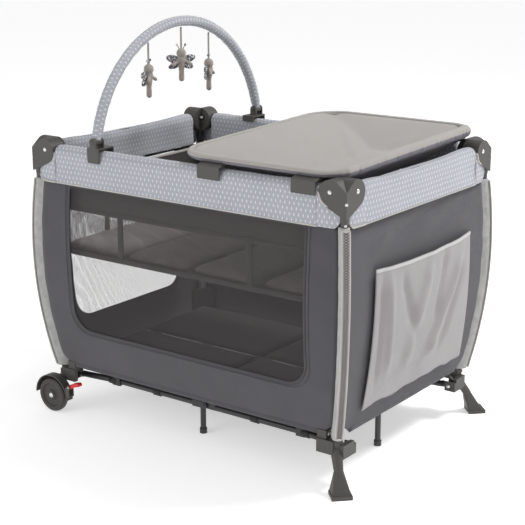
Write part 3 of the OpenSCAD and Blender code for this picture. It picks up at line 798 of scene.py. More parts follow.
def make_corner_tabs():
    """Ends of the covers, sewn under the hearts of each corner bracket."""
    for corner, (sx, sy) in CORNERS.items():
        for side in ALONG:
            along = ALONG[side]
            outward = along.cross(UP)
            if outward.x * sx < 0 or outward.y * sy < 0:
                continue
            sign = 1 if along.x * sx + along.y * sy > 0 else -1
            start = side_reach(side) - 0.004
            half = HALF_L if is_long(side) else HALF_W
            stop = half - 0.022
            out = side_face(side)
            rows = []
            for i in range(13):
                t = i / 12
                s = sign * (start + (stop - start) * t)
                low = COVER_LOW + 0.001 + 0.016 * max(0.0, (t - 0.7) / 0.3) ** 2
                high = under_heart(half - abs(s)) + 0.002
                row = []
                for j in range(15):
                    v = j / 14
                    puff = 0.0016 * sin(pi * v) - 0.0022 - 0.006 * t * t
                    row.append(place(side, s, out + puff, low + (high - low) * v))
                rows.append(row)
            if sign > 0:
                rows = [row[::-1] for row in rows]
            name = "cover_tab_%s_%s" % (corner, side)
            uv = [[(abs(rows[i][j].dot(along)), rows[i][j].z) for j in range(15)] for i in range(13)]
            tab = thicken(grid(name, rows, uv=uv), 0.006)
            dress(tab, RAINDROP, "corner_" + corner, "rail_cover_cloth")
            path = [row[0] + outward * 0.0012 + UP * 0.0008 for row in rows[::-sign]]
            trim("tab_piping_%s_%s" % (corner, side), path, disc(PIPING_R, 8), PIPING, "corner_" + corner,
                 "taupe_cloth", UP)


# ---- Post sleeves ----

def post_point(sx, sy, z, out=0.0, side=0.0):
    """Point near a post's bowed centre line: out along the corner's diagonal, side across it."""
    x = POST_X + bow(z) + out / sqrt(2) - side / sqrt(2)
    y = POST_Y + bow(z) + out / sqrt(2) + side / sqrt(2)
    return Vector((sx * x, sy * y, z))


def make_sleeves():
    low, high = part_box("sleeve_front_right")[0].z - 0.008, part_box("sleeve_front_right")[1].z + 0.006
    inner, outer = -0.0200, 0.0262
    for corner, (sx, sy) in CORNERS.items():
        rows = []
        for z in spread(low, high, 92):
            row = []
            for a in turns(36):
                wide = 0.0130 * copysign(abs(cos(a)) ** 0.75, cos(a))
                deep = (outer - inner) / 2 * copysign(abs(sin(a)) ** 0.7, sin(a))
                soft = 1 + ripple(z, a * 0.05, sx * 3 + sy, 0.035, 0.035) + 0.015 * sin(z * 95 + 2 * a)
                row.append(post_point(sx, sy, z, (inner + outer) / 2 + deep, wide * soft))
            rows.append(row if sx * sy > 0 else row[::-1])
        sleeve = grid("sleeve_%s_padded" % corner, rows[::-1], ring=True, caps=True)
        dress(sleeve, HEATHER, "corner_" + corner, "sleeve_cloth", "sleeve_" + corner)
        make_lacing(corner, sx, sy, low, high)


def make_lacing(corner, sx, sy, low, high):
    """Light band with a dark zigzag cord between two pipings, down the outer edge of a sleeve."""
    body = "corner_" + corner
    axis = Vector((sx, sy, 0)).normalized()
    heights = spread(low + 0.004, high - 0.004, 70)
    trim("lacing_band_" + corner, [post_point(sx, sy, z, 0.0264) for z in heights], flat_band(0.0190, 0.0016),
         PIPING, body, "taupe_cloth", axis)
    for side, label in ((-1, "left"), (1, "right")):
        path = [post_point(sx, sy, z, 0.0272, side * 0.0098) for z in heights]
        trim("lacing_piping_%s_%s" % (corner, label), path, disc(0.0019, 8), PIPING, body,
             "taupe_cloth", axis)
    for phase in (0, 1):
        path = [post_point(sx, sy, z, 0.0280, 0.0062 if (k + phase) % 2 else -0.0062)
                for k, z in enumerate(spread(low + 0.008, high - 0.008, 80))]
        trim("lacing_cord_%s_%d" % (corner, phase), path, disc(0.0011, 6), BINDING, body, "wall_cloth", axis)


# ---- Walls ----

WINDOW_LONG = (-0.389, 0.396, 0.262, WALL_TOP - 0.003)
WINDOW_LEFT = (-0.236, 0.236, 0.243, WALL_TOP - 0.003)


def round_sides(s0, s1, z0, z1, low_r, top_r):
    """The sides of a rounded outline, lower side first, each from one corner's middle to the next."""
    corners = [(s0 + low_r, z0 + low_r, low_r, 225), (s1 - low_r, z0 + low_r, low_r, 315),
               (s1 - top_r, z1 - top_r, top_r, 45), (s0 + top_r, z1 - top_r, top_r, 135)]
    sides = []
    for start, end in zip(corners, corners[1:] + corners[:1]):
        path = []
        for (cs, cz, r, middle), turned in ((start, 0), (end, -45)):
            path += arc(cs, cz, r, middle + turned, 45, 6)
        sides.append(path)
    return sides


def edge_half(side, z):
    """Half width of a wall at height z: its lower corners are cut off round the feet."""
    return wall_half(side, z) - 0.034 * max(0.0, 1 - (z - WALL_LOW) / 0.034)


def wall_sides(side):
    """The four sides of a wall's outline, following the bowed posts."""
    right = [Vector((edge_half(side, z), z, 0)) for z in spread(WALL_LOW, WALL_TOP, 16)]
    left = [Vector((-p.x, p.y, 0)) for p in reversed(right)]
    return [[left[-1], right[0]], right, [right[-1], left[0]], left]


def wall_wave(side, s, z):
    """Slight unevenness of a hanging wall, with drawn folds near its posts."""
    seed = ord(side[0])
    corner = max(0.0, 1 - abs(wall_half(side, z) - abs(s)) / 0.12)
    return ripple(s, z, seed, 0.16, 0.0016) + 0.0007 * corner * sin(z * 70 + s * 30 + seed)


def wall_point(side, s, z, off=0.0):
    return place(side, s, wall_out(side, z) + off + wall_wave(side, s, z) - 0.001, z)


def finish_wall(obj, side, material, slot, nodes=(), flat=None, thickness=0.0018):
    if thickness:
        thicken(obj, thickness)
    dress(obj, material, SIDE_BODY[side], slot, *nodes)
    gather(obj, side, wall_half(side, BOW_Z) + 0.002)


def flat_size(side):
    """Width and height of a wall's cut."""
    return 2 * wall_half(side, BOW_Z), WALL_TOP - WALL_LOW


def wall_sheet(name, side, flat_rows, off=0.0):
    """Cloth of a wall through closed rows of flat points, the first row outermost."""
    rows = [[wall_point(side, p.x, p.y, off) for p in row] for row in flat_rows]
    return grid(name, rows, ring=True, uv=[[(p.x, p.y) for p in row + row[:1]] for row in flat_rows])


def make_window_wall(side, window, low_r=0.062, top_r=0.008):
    counts = (56, 34, 56, 34)
    outer = [p for path, n in zip(wall_sides(side), counts) for p in resample(path, n)]
    inner = [p for path, n in zip(round_sides(*window, low_r, top_r), counts) for p in resample(path, n)]
    rings = 9
    flat_rows = [[a.lerp(b, i / rings) for a, b in zip(outer, inner)] for i in range(rings + 1)]
    panel = wall_sheet("side_panel_%s_cloth" % side, side, flat_rows)
    s0, s1, z0, z1 = window
    width, height = flat_size(side)
    cut = width * height - (s1 - s0) * (z1 - z0)
    finish_wall(panel, side, SLATE, "wall_cloth", ["side_panel_" + side], (width, height, cut))
    # The mesh is sewn in behind the edge of the window
    centre = Vector(((s0 + s1) / 2, (z0 + z1) / 2, 0))
    net_rings = 14
    flat_rows = [[centre + (p - centre) * (1.012 * (1 - i / net_rings) + 0.0005) for p in inner]
                 for i in range(net_rings + 1)]
    net = wall_sheet("window_mesh_" + side, side, flat_rows, -0.0024)
    finish_wall(net, side, NET, "mesh_cloth", (), (s1 - s0, z1 - z0), thickness=0.0)
    rim = [wall_point(side, p.x, p.y, 0.0006) for p in inner]
    wall_trim("window_binding_" + side, side, rim, flat_band(0.0075, 0.0018), BINDING, ring=True)
    seam = [wall_point(side, p.x, p.y, 0.0004) for p in
            (centre + Vector(((p - centre).x * 1.03, (p - centre).y * 1.05, 0)) for p in inner)]
    wall_trim("window_seam_" + side, side, seam, disc(0.0009, 6), LINING, ring=True)


def wall_trim(name, side, path, section, material, ring=False):
    """Binding, seam or hem on a wall."""
    finish_wall(swept(name, path, section, ALONG[side].cross(UP), ring), side, material, "wall_cloth",
                thickness=0.0)


def make_hem(side):
    """Folded hem along the lower edge of a wall."""
    half = edge_half(side, WALL_LOW + 0.008) - 0.008
    path = [wall_point(side, s, WALL_LOW + 0.008, 0.0003) for s in spread(-half, half, 60)]
    wall_trim("hem_" + side, side, path, flat_band(0.014, 0.0022), SLATE)


def crease(s, z, a, b, width, height):
    """Height of a soft fold along the line from a to b, which fades at its ends."""
    a, b, p = Vector(a), Vector(b), Vector((s, z))
    line = b - a
    t = (p - a).dot(line) / line.length_squared
    off = (p - a - line * t).length
    fade = max(0.0, 1 - max(0.0, abs(t - 0.5) - 0.3) / 0.3)
    return height * fade * fade * exp(-(off / width) ** 2)


def creases(s, z, folds):
    return sum(crease(s, z, *fold) for fold in folds)


# Drawn folds below the rail: ends as (s, z), width and height
WALL_FOLDS = [((-0.20, 0.615), (0.16, 0.668), 0.014, -0.006), ((-0.27, 0.60), (-0.05, 0.64), 0.010, 0.003),
              ((0.05, 0.60), (0.28, 0.655), 0.016, -0.003)]


def make_solid_wall(side):
    rows, uv = [], []
    columns, steps = 64, 56
    for i in range(columns + 1):
        row, row_uv = [], []
        for j in range(steps + 1):
            z = WALL_LOW + (WALL_TOP - WALL_LOW) * j / steps
            s = (-1 + 2 * i / columns) * edge_half(side, z)
            row.append(wall_point(side, s, z, creases(s, z, WALL_FOLDS)))
            row_uv.append((s, z))
        rows.append(row)
        uv.append(row_uv)
    panel = grid("side_panel_%s_cloth" % side, [row[::-1] for row in rows], uv=[row[::-1] for row in uv])
    finish_wall(panel, side, SLATE, "wall_cloth", ["side_panel_" + side], flat_size(side))


def make_walls():
    make_window_wall("front", WINDOW_LONG)
    s0, s1, z0, z1 = WINDOW_LONG
    make_window_wall("back", (-s1, -s0, z0, z1))
    make_window_wall("left", WINDOW_LEFT)
    make_solid_wall("right")
    for side in ALONG:
        make_hem(side)


# ---- Pocket ----

POCKET_LO, POCKET_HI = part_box("pocket")
POCKET_BOTTOM = (-0.250, 0.262)
POCKET_MOUTH = (-0.240, 0.246)
POCKET_FOLDS = [
    ((-0.215, 0.560), (-0.205, 0.215), 0.010, -0.015), ((-0.185, 0.560), (-0.160, 0.240), 0.013, 0.012),
    ((-0.13, 0.54), (-0.02, 0.30), 0.018, -0.011), ((0.02, 0.55), (-0.09, 0.23), 0.022, 0.012),
    ((0.20, 0.54), (0.00, 0.21), 0.018, 0.014), ((0.225, 0.52), (0.10, 0.23), 0.015, -0.013),
    ((-0.16, 0.24), (0.12, 0.30), 0.014, 0.007), ((0.10, 0.56), (0.06, 0.34), 0.012, -0.008),
]


def pocket_point(u, v):
    """Pocket surface: u from -1 to 1 across it, v from 0 at the bottom to 1 at the mouth."""
    s0, s1 = (low + (high - low) * v for low, high in zip(POCKET_BOTTOM, POCKET_MOUTH))
    s = (s0 + s1) / 2 + u * (s1 - s0) / 2
    low = POCKET_LO.z + 0.004 + 0.006 * ripple(u, 0.0, 5, 0.3, 1.0)
    top = POCKET_HI.z + 0.001 - 0.006 * (1 - u * u)
    z = low + (top - low) * v
    free = (1 - abs(u) ** 3.2) * min(1.0, v * 3)
    gape = 0.010 + 0.012 * free * v ** 0.8
    folded = creases(s, z, POCKET_FOLDS) * (1 - abs(u) ** 6) * min(1.0, v * 4)
    out = gape + folded + ripple(s, z, 9, 0.06, 0.0022) * free
    return place("right", s, wall_out("right", z) + max(0.0032, min(out, 0.034)), z)


def make_pocket():
    columns, steps = 76, 56
    rows = [[pocket_point(-1 + 2 * i / columns, 1 - j / steps) for j in range(steps + 1)]
            for i in range(columns + 1)]
    pocket = grid("pocket_cloth", rows)
    thicken(pocket, 0.0014)
    dress(pocket, POCKET, "corner_front_right", "taupe_cloth", "pocket")
    gather(pocket, "right", wall_half("right", BOW_Z) + 0.002)
    # The elastic draws the mouth in small puckers
    path = [pocket_point(-1 + k / 60, 0.985) + Vector((0.0006 * sin(k * 2.1), 0, 0.0004 * sin(k * 1.7)))
            for k in range(121)]
    mouth = trim("pocket_elastic", path, flat_band(0.0085, 0.0030), ELASTIC, "corner_front_right",
                 "taupe_cloth", Vector((1, 0, 0)))
    gather(mouth, "right", wall_half("right", BOW_Z) + 0.002)


# ---- Floor mat ----

FLOOR_TUBE_Y = 0.256


def pillow(name, x0, x1, y0, y1, z0, z1, radius, cell=0.02, edge=0.010, crown=0.0015):
    """Flat pad with rounded corners and edges, as two skins that meet at its seam."""
    nx, ny = round((x1 - x0) / cell), round((y1 - y0) / cell)
    rows_up, rows_low, uv = [], [], []
    cx, cy = (x0 + x1) / 2, (y0 + y1) / 2
    hx, hy = (x1 - x0) / 2, (y1 - y0) / 2
    mid = (z0 + z1) / 2
    for i in range(nx + 1):
        up, low, row_uv = [], [], []
        for j in range(ny + 1):
            u, v = -1 + 2 * i / nx, -1 + 2 * j / ny
            dx, dy = abs(u) * hx - (hx - radius), abs(v) * hy - (hy - radius)
            x, y = u * hx, v * hy
            if dx > 0 and dy > 0 and radius > 0:
                # Corner squares are drawn in to the rounded outline
                reach = max(dx, dy)
                length = hypot(dx, dy)
                x = copysign(hx - radius + dx * reach / length, u)
                y = copysign(hy - radius + dy * reach / length, v)
                border = radius - reach
            else:
                border = min(hx - abs(x), hy - abs(y))
            t = min(1.0, border / edge)
            height = (z1 - z0) / 2 * sqrt(max(0.0, 1 - (1 - t) ** 2))
            lift = crown * t * noise.noise(Vector((x * 9, y * 9, z0 * 50)))
            up.append(Vector((cx + x, cy + y, mid + height + lift)))
            low.append(Vector((cx + x, cy + y, mid - height)))
            row_uv.append((cx + x, cy + y))
        rows_up.append(up)
        rows_low.append(low)
        uv.append(row_uv)
    verts = [p for row in rows_up for p in row] + [p for row in rows_low for p in row]
    faces, uvs, n, total = [], [], ny + 1, (nx + 1) * (ny + 1)
    for i in range(nx):
        for j in range(ny):
            quad = (i * n + j, (i + 1) * n + j, (i + 1) * n + j + 1, i * n + j + 1)
            corners = [uv[i][j], uv[i + 1][j], uv[i + 1][j + 1], uv[i][j + 1]]
            faces.append(quad)
            uvs += corners
            faces.append(tuple(k + total for k in reversed(quad)))
            uvs += corners[::-1]
    return weld(new_mesh(name, verts, faces, uvs), 1e-5)


def make_floor_mat():
    lo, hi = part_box("floor_mat")
    for sx, side in ((1, "right"), (-1, "left")):
        for sy, row in ((-1, "front"), (1, "back")):
            x0, x1 = sorted((sx * 0.0002, sx * hi.x))
            y0, y1 = sorted((sy * 0.0002, sy * hi.y))
            pad = pillow("floor_mat_%s_%s" % (row, side), x0, x1, y0, y1, lo.z, hi.z, 0.001, edge=0.003)
            body = "floor_rail_%s_%s" % (row, side)
            dress(pad, MAT, body, "mat_cloth", "floor_mat")
            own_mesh(pad)
            ends = []
            if side == "right":
                ends.append((Vector((0, sy * 0.0001, 0)), Vector((0, sy * (hi.y - 0.01), 0))))
            if row == "front":
                ends.append((Vector((sx * 0.0001, 0, 0)), Vector((sx * (hi.x - 0.01), 0, 0))))
            for number, (a, b) in enumerate(ends):
                path = [a.lerp(b, k / 20) + UP * (lo.z - 0.0006) for k in range(21)]
                tape = trim("mat_tape_%s_%s_%d" % (row, side, number + 1), path, flat_band(0.030, 0.0010),
                            MAT, body, "mat_cloth", UP)
                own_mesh(tape)


def make_gussets():
    """Cloth behind the cut lower corners of the walls, above the floor mat."""
    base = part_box("floor_mat")[1].z - 0.020
    for corner, (sx, sy) in CORNERS.items():
        rows = []
        for z in spread(base, base + 0.070, 8):
            ends = [Vector((POST_X - 0.050 + bow(z), WALL_LONG + bow(z) - 0.004, z)),
                    Vector((POST_X - 0.026 + bow(z), POST_Y - 0.026 + bow(z), z)),
                    Vector((WALL_SHORT + bow(z) - 0.004, POST_Y - 0.050 + bow(z), z))]
            row = []
            for k in range(13):
                t = k / 12
                p = ends[0].lerp(ends[1], t).lerp(ends[1].lerp(ends[2], t), t)
                row.append(Vector((sx * p.x, sy * p.y, z)))
            rows.append(row if sx * sy > 0 else row[::-1])
        uv = [[((p - row[0]).length, p.z) for p in row] for row in rows]
        gusset = thicken(grid("corner_gusset_" + corner, rows, uv=uv), 0.0015)
        dress(gusset, LINING, "corner_" + corner, "wall_cloth")


# ---- Bassinet ----

SHELL_LO, SHELL_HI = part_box("bassinet_shell")
SHELL_R = 0.06
BAND_LOW = 0.606


def shell_outline(hx, hy, radius):
    """Rounded rectangle round the middle of the yard, counter-clockwise from above."""
    points = []
    for sx, sy, first in ((1, -1, 270), (1, 1, 0), (-1, 1, 90), (-1, -1, 180)):
        points += arc(sx * (hx - radius), sy * (hy - radius), radius, first, 90, 10)
    return even_loop(points, 0.014)


def hanging_ring(name, inset, z0, z1, steps, sag=0.0):
    """Ring of cloth round the bassinet, from z0 up to z1."""
    outline = shell_outline(SHELL_HI.x - inset, SHELL_HI.y - inset, SHELL_R - inset)
    sums = lengths(outline + outline[:1])
    rows, uv = [], []
    for i in range(steps + 1):
        z = z0 + (z1 - z0) * i / steps
        pull = 1 - sag * sin(pi * i / steps)
        row = []
        for k, p in enumerate(outline):
            wave = 1 + ripple(sums[k], z, 3.3, 0.12, 0.002)
            row.append(Vector((p.x * pull * wave, p.y * pull * wave, z)))
        rows.append(row)
        uv.append([(s, z) for s in sums])
    return grid(name, rows, ring=True, uv=uv)


def make_bassinet():
    band = thicken(hanging_ring("bassinet_band", 0.001, BAND_LOW, SHELL_HI.z, 6), 0.002)
    dress(band, LINING, "bassinet", "mat_cloth", "bassinet_shell")
    net = hanging_ring("bassinet_mesh", 0.002, SHELL_LO.z + 0.004, BAND_LOW + 0.004, 12, 0.004)
    dress(net, NET_DARK, "bassinet", "mesh_cloth")
    for name, z in (("bassinet_lower_binding", SHELL_LO.z + 0.006), ("bassinet_band_binding", BAND_LOW)):
        path = [p + UP * z for p in shell_outline(SHELL_HI.x - 0.001, SHELL_HI.y - 0.001, 0.059)]
        trim(name, path, flat_band(0.014, 0.003), STRAP, "bassinet", "mat_cloth",
             lambda p: Vector((p.x / SHELL_HI.x, p.y / SHELL_HI.y, 0)).normalized(), ring=True)
    inside = DEPTH + 0.0045
    rim = [p + UP * (SHELL_HI.z + 0.0035) for p in shell_outline(HALF_L - inside, HALF_W - inside, 0.059)]
    trim("bassinet_rim_piping", rim, disc(0.0045, 10), PIPING, "bassinet", "mat_cloth", UP, ring=True)
    base = pillow("bassinet_base", -SHELL_HI.x + 0.003, SHELL_HI.x - 0.003, -SHELL_HI.y + 0.003,
                  SHELL_HI.y - 0.003, SHELL_LO.z, SHELL_LO.z + 0.004, 0.057, edge=0.002, crown=0.0)
    dress(base, LINING, "bassinet", "mat_cloth")
    straps = [(x, y, Vector((0, y, 0))) for y in (-SHELL_HI.y, SHELL_HI.y) for x in (-0.230, 0.205)]
    straps += [(x, y, Vector((x, 0, 0))) for x in (-SHELL_HI.x, SHELL_HI.x) for y in (-0.130, 0.130)]
    for number, (x, y, out) in enumerate(straps):
        out.normalize()
        path = [Vector((x, y, z)) - out * 0.001 for z in spread(SHELL_LO.z, BAND_LOW + 0.01, 12)]
        trim("bassinet_strap_%d" % (number + 1), path, flat_band(0.020, 0.002), STRAP, "bassinet",
             "mat_cloth", out)


def make_mattress():
    lo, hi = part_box("bassinet_mattress")
    edges = [lo.x, -0.228, 0.0, 0.228, hi.x]
    pads = []
    for number, (x0, x1) in enumerate(zip(edges, edges[1:])):
        pad = pillow("mattress_panel_%d" % (number + 1), x0 + 0.001, x1 - 0.001, lo.y, hi.y, lo.z,
                     hi.z - 0.004, 0.016, edge=0.014, crown=0.003)
        hold(pad, lambda p: p.z < lo.z + 0.012)
        pads.append(pad)
    inflate(pads, pressure=3.0, cap=0.003)
    for pad in pads:
        dress(smooth(pad), MATTRESS, "bassinet", "mattress_cloth", "bassinet_mattress")


# ---- Changing top ----

FRAME_LO, FRAME_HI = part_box("changer_frame")
SLING_LO, SLING_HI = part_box("changer_sling")
CHANGER_HALF = 0.345
CHANGER_TILT = asin(0.020 / (2 * CHANGER_HALF))
CHANGER_MID_Z = (FRAME_LO.z + FRAME_HI.z) / 2
CHANGER_R = 0.008
BEND_LEFT, BEND_RIGHT = 0.100, 0.060


def tilted(x, y, z):
    """Point of the changing top, given before its slight tilt from front to back."""
    c, s = cos(CHANGER_TILT), sin(CHANGER_TILT)
    return Vector((x, y * c - z * s, CHANGER_MID_Z + y * s + z * c))


def changer_outline(inset=0.0, spacing=0.012):
    """Centre line of the changing top's frame, as flat points."""
    x0, x1 = FRAME_LO.x + CHANGER_R + inset, FRAME_HI.x - 0.012 - inset
    y1 = CHANGER_HALF - inset
    right, left = BEND_RIGHT - inset, BEND_LEFT - inset
    points = []
    for cx, cy, r, first in ((x1 - right, right - y1, right, 270), (x1 - right, y1 - right, right, 0),
                             (x0 + left, y1 - left, left, 90), (x0 + left, left - y1, left, 180)):
        points += arc(cx, cy, r, first, 90, 10)
    return even_loop(points, spacing)


def make_changer_rim():
    """Cloth rolled round the frame tube: light above, dark below, gathered along the foot end."""
    outline = changer_outline(spacing=0.006)
    rows = []
    count = len(outline)
    for k, p in enumerate(outline):
        tangent = (outline[(k + 1) % count] - outline[k - 1]).normalized()
        side = Vector((tangent.y, -tangent.x, 0))
        foot = max(0.0, min(1.0, (p.x - (FRAME_HI.x - 0.030)) / 0.015))
        r = 0.0095 + 0.0050 * foot
        gathers = 1 + 0.22 * foot * sin(k * 2.4 + 3 * noise.noise(Vector((p.x * 40, p.y * 40, 0))))
        row = []
        for a in turns(16):
            soft = r * (gathers if sin(a) < 0.5 else 1) * (1 + ripple(k * 0.006, a * 0.02, 2, 0.03, 0.05))
            q = p + side * (cos(a) * soft)
            row.append(tilted(q.x, q.y, sin(a) * soft))
        rows.append(row)
    rows.append(rows[0])
    rim = grid("changer_rim", rows[::-1], ring=True)
    rim.data.materials.append(TAUPE)
    rim.data.materials.append(UNDERSIDE)
    for polygon in rim.data.polygons:
        if polygon.center.z < tilted(polygon.center.x, polygon.center.y, 0).z - 0.001:
            polygon.material_index = 1
    dress(rim, TAUPE, "changer", "taupe_cloth", "changer_frame")


SLING_FOLDS = [
    ((0.07, 0.27), (0.27, 0.05), 0.010, -0.006), ((0.27, 0.05), (0.40, -0.24), 0.014, -0.005),
    ((0.33, 0.30), (0.27, 0.05), 0.012, 0.005), ((0.02, -0.20), (0.30, -0.24), 0.022, 0.004),
    ((0.05, 0.16), (0.12, -0.10), 0.018, 0.004),
]


def soft_min(values, blend):
    """Least of the values, rounded where they cross."""
    return -blend * log(sum(exp(-value / blend) for value in values))


def sling_rows(drop):
    """Rows of the sling, from its edge inwards: it hangs in a soft trough between the frame's sides."""
    outline = changer_outline(inset=0.004)
    centre = Vector(((FRAME_LO.x + FRAME_HI.x) / 2 + 0.01, 0, 0))
    hx, hy = (FRAME_HI.x - FRAME_LO.x) / 2 - 0.02, CHANGER_HALF - 0.008
    depth = SLING_HI.z - SLING_LO.z - 0.026
    rings = 34
    rows, uv = [], []
    for i in range(rings + 1):
        t = i / rings
        row, row_uv = [], []
        for p in outline:
            q = centre + (p - centre) * (1 - t)
            u, v = max(-1, min(1, (q.x - centre.x) / hx)), min(1, abs(q.y) / hy)
            sag = depth * soft_min((1.0, 1.06 * (1 + u), 3.2 * (1 - u), 2.6 * (1 - v)), 0.012)
            folds = creases(q.x, q.y, SLING_FOLDS) * min(1.0, t * 4)
            soft = ripple(q.x, q.y, 7, 0.10, 0.0016) * min(1.0, t * 5)
            row.append(tilted(q.x, q.y, 0.006 - sag + folds + soft - drop))
            row_uv.append((q.x, q.y))
        rows.append(row)
        uv.append(row_uv + row_uv[:1])
    return rows, uv


def make_changer():
    make_changer_rim()
    for name, drop, material, slot, nodes in (
            ("changer_sling_cloth", 0.0, TAUPE, "taupe_cloth", ["changer_sling"]),
            ("changer_underside_cloth", 0.010, UNDERSIDE, "wall_cloth", [])):
        rows, uv = sling_rows(drop)
        sheet = thicken(weld(grid(name, rows, ring=True, uv=uv)), 0.0015)
        dress(sheet, material, "changer", slot, *nodes)
    seam = [tilted(p.x, p.y, 0.0075) for p in changer_outline(inset=0.006)]
    trim("changer_seam", seam, disc(0.0010, 6), PIPING, "changer", "taupe_cloth", UP, ring=True)


# ---- Toy arch ----

ARCH_LO, ARCH_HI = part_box("toy_bar")
ARCH_X = (ARCH_LO.x + ARCH_HI.x) / 2
ARCH_TUBE = 0.015
ARCH_R = 0.365
ARCH_Z = ARCH_HI.z - ARCH_TUBE - ARCH_R
HINGE_Y, HINGE_Z = 0.357, 0.808


def make_toy_arch():
    first = asin((HINGE_Z + 0.004 - ARCH_Z) / ARCH_R)
    count = 190
    rows = []
    for i in range(count + 1):
        t = i / count
        angle = first + (pi - 2 * first) * t
        height = ARCH_Z + ARCH_R * sin(angle) - HINGE_Z
        end = max(0.0, min(1.0, 1 - (height - 0.012) / 0.010))
        row = []
        for a in turns(24):
            r = ARCH_TUBE - 0.0006 - 0.0032 * end + (1 - end) * ripple(t * 1.1, a * 0.012, 1, 0.022, 0.0009)
            r += 0.0006 * end * sin(a * 9)
            far = ARCH_R + r * cos(a)
            row.append(Vector((ARCH_X + r * sin(a), far * cos(angle), ARCH_Z + far * sin(angle))))
        rows.append(row)
    arch = weld(grid("toy_arch_cover", rows, ring=True, caps=True), outward=True)
    dress(arch, RAINDROP, "toy_bar", "rail_cover_cloth", "toy_bar")
    half = [(-0.0125, 0.0032), (-0.0125, 0.0095), (-0.0115, 0.0105)]
    profile = half + [(-along, radius) for along, radius in reversed(half)]
    for side, where in ((-1, "front"), (1, "back")):
        barrel = lathe("arch_hinge_barrel_" + where, profile, Vector((ARCH_X, side * HINGE_Y, HINGE_Z)), 40)
        dress(barrel, PLASTIC, "toy_bar", "taupe_plastic")


def blob(name, parts, voxel=0.0016, smoothing=10):
    """One stuffed shape from overlapping balls and limbs, given as (start, end, start radius, end radius)."""
    bm = bmesh.new()
    for a, b, ra, rb in parts:
        a, b = Vector(a), Vector(b)
        steps = max(1, ceil((b - a).length / (0.35 * min(ra, rb))))
        for k in range(steps + 1):
            t = k / steps
            centre, radius = a.lerp(b, t), ra + (rb - ra) * t
            bmesh.ops.create_icosphere(bm, subdivisions=2, radius=radius, matrix=Matrix.Translation(centre))
    obj = new_mesh(name, [], [])
    bm.to_mesh(obj.data)
    bm.free()
    remesh = obj.modifiers.new("remesh", "REMESH")
    remesh.mode = "VOXEL"
    remesh.voxel_size = voxel
    soften = obj.modifiers.new("soften", "SMOOTH")
    soften.iterations = smoothing
    graph = bpy.context.evaluated_depsgraph_get()
    mesh = bpy.data.meshes.new_from_object(obj.evaluated_get(graph))
    obj.modifiers.clear()
    obj.data = mesh
    mesh.polygons.foreach_set("use_smooth", [True] * len(mesh.polygons))
    return obj


def wing(name, root, tip, width, thick=0.0045):
    """Flat padded wing from root to tip, rounded at its end, with stitched veins."""
    along = tip - root
    across = along.cross(Vector((1, 0, 0))).normalized()
    rows = []
    for i in range(17):
        t = i / 16
        half = width * (0.35 + 0.65 * sin(pi * min(1, t * 1.15 + 0.08) / 1.25)) * sqrt(
            max(0.002, 1 - max(0.0, (t - 0.7) / 0.3) ** 2))
        row = []
        for a in turns(20):
            quilt = 1 - 0.35 * abs(sin(t * 9)) ** 6
            deep = thick * sin(a) * quilt * min(1.0, (1 - t) * 6 + 0.15)
            row.append(root + along * t + across * (half * cos(a)) + Vector((deep, 0, 0)))
        rows.append(row)
    return weld(grid(name, rows, ring=True, caps=True), outward=True)


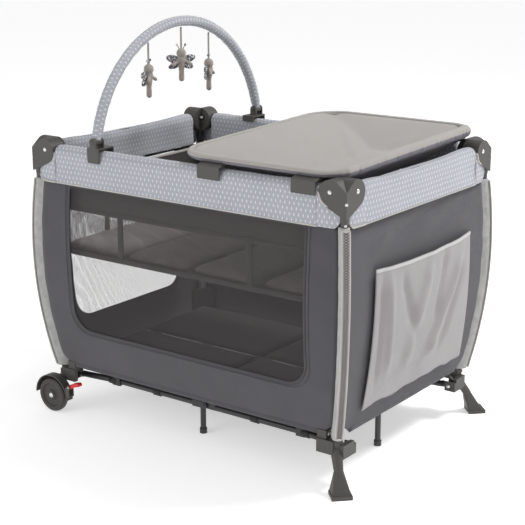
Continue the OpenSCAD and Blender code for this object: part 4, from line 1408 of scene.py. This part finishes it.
def make_toy(body, turn):
    """Stuffed dragonfly: round head with feelers, long body and two pairs of wings."""
    lo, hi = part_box(body)
    y = (lo.y + hi.y) / 2
    tail = lo.z
    head = tail + 0.080
    spin = Matrix.Rotation(radians(turn), 4, "Z")
    home = Vector((ARCH_X, y, 0))

    def at(x, side, z):
        return home + spin @ Vector((x, side, z))

    parts = [(at(0, 0, head), at(0, 0, head + 0.001), 0.0145, 0.0145),
             (at(0.001, 0, head - 0.016), at(0, 0, head - 0.044), 0.0120, 0.0085),
             (at(0, 0, head - 0.048), at(0, 0, tail + 0.009), 0.0075, 0.0085),
             (at(0.004, 0.010, head - 0.020), at(0.010, 0.026, head - 0.030), 0.0045, 0.0055),
             (at(0.004, -0.010, head - 0.020), at(0.010, -0.026, head - 0.030), 0.0045, 0.0055)]
    shape = blob(body + "_doll", parts)
    dress(shape, PLUSH, body, "plush", body)
    for side, label in ((-1, "left"), (1, "right")):
        for pair, root, tip_x, reach, tip, width in (("upper", 0.020, -0.006, 0.043, 0.010, 0.0115),
                                                     ("lower", 0.028, -0.007, 0.036, 0.040, 0.0100)):
            piece = wing("%s_%s_wing_%s" % (body, pair, label), at(-0.005, side * 0.004, head - root),
                         at(tip_x, side * reach, head - tip), width)
            dress(piece, WINGS, body, "plush")
        feeler = [at(0, side * 0.005, head + 0.011), at(0, side * 0.008, head + 0.018),
                  at(0, side * 0.012, head + 0.024)]
        trim("%s_feeler_%s" % (body, label), feeler, disc(0.0013, 8), PLUSH, body, "plush", Vector((1, 0, 0)))
        knob = blob("%s_knob_%s" % (body, label), [(feeler[-1], feeler[-1] + UP * 0.001, 0.0034, 0.0034)],
                    0.0009, 2)
        dress(knob, WINGS, body, "plush")
    path = [home + UP * z for z in spread(head + 0.010, hi.z, 12)]
    trim(body + "_ribbon", path, flat_band(0.0075, 0.0014), RIBBON, body, "taupe_cloth", Vector((1, 0, 0)))


# ---- Small parts ----

def make_tube_clips():
    """Black clips under the long floor tubes."""
    for row, sy in (("front", -1), ("back", 1)):
        for side, sx in (("right", 1), ("left", -1)):
            for number, x in enumerate((0.335, 0.170)):
                centre = Vector((sx * x, sy * (FLOOR_TUBE_Y if x < 0.3 else FLOOR_TUBE_Y + 0.003), 0.095))
                path = [centre + Vector((dx, 0, 0)) for dx in (-0.013, -0.012, 0.012, 0.013)]
                trim("tube_clip_%s_%s_%d" % (row, side, number + 1), path,
                     lambda t: disc(0.0118 if 0.2 < t < 0.8 else 0.0104, 20), BLACK,
                     "floor_rail_%s_%s" % (row, side), "taupe_plastic", UP)


# ---- All the parts ----

make_camera()
make_hard_parts()
make_bracket_screws()
make_wheels()
make_covers()
make_corner_tabs()
make_sleeves()
make_walls()
make_pocket()
make_floor_mat()
make_gussets()
make_bassinet()
make_mattress()
make_changer()
make_toy_arch()
for toy, turn in (("toy_front", 20), ("toy_middle", -35), ("toy_back", 30)):
    make_toy(toy, turn)
make_tube_clips()

# ---- Studio ----

white = Shader("studio_floor").set(Base_Color=rgb(246, 246, 246), Roughness=0.8, Specular_IOR_Level=0.1,
                                   Emission_Color=rgb(255, 255, 255), Emission_Strength=0.45)
corners = [(-40, -40, 0), (40, -40, 0), (40, 40, 0), (-40, 40, 0)]
studio_floor = new_mesh("studio_floor", corners, [(0, 1, 2, 3)])
studio_floor.data.materials.append(white)
area_light("key", (2.1, 1.8, 3.95), (0, 0, 0.5), 1.3, 150)
area_light("fill", (-1.2, -4.2, 2.2), (0, 0, 0.5), 2.6, 52)
area_light("side", (4.2, -1.6, 1.8), (0, 0, 0.5), 2.4, 4)
light_sky("studio")
bpy.context.scene.view_settings.view_transform = "Standard"
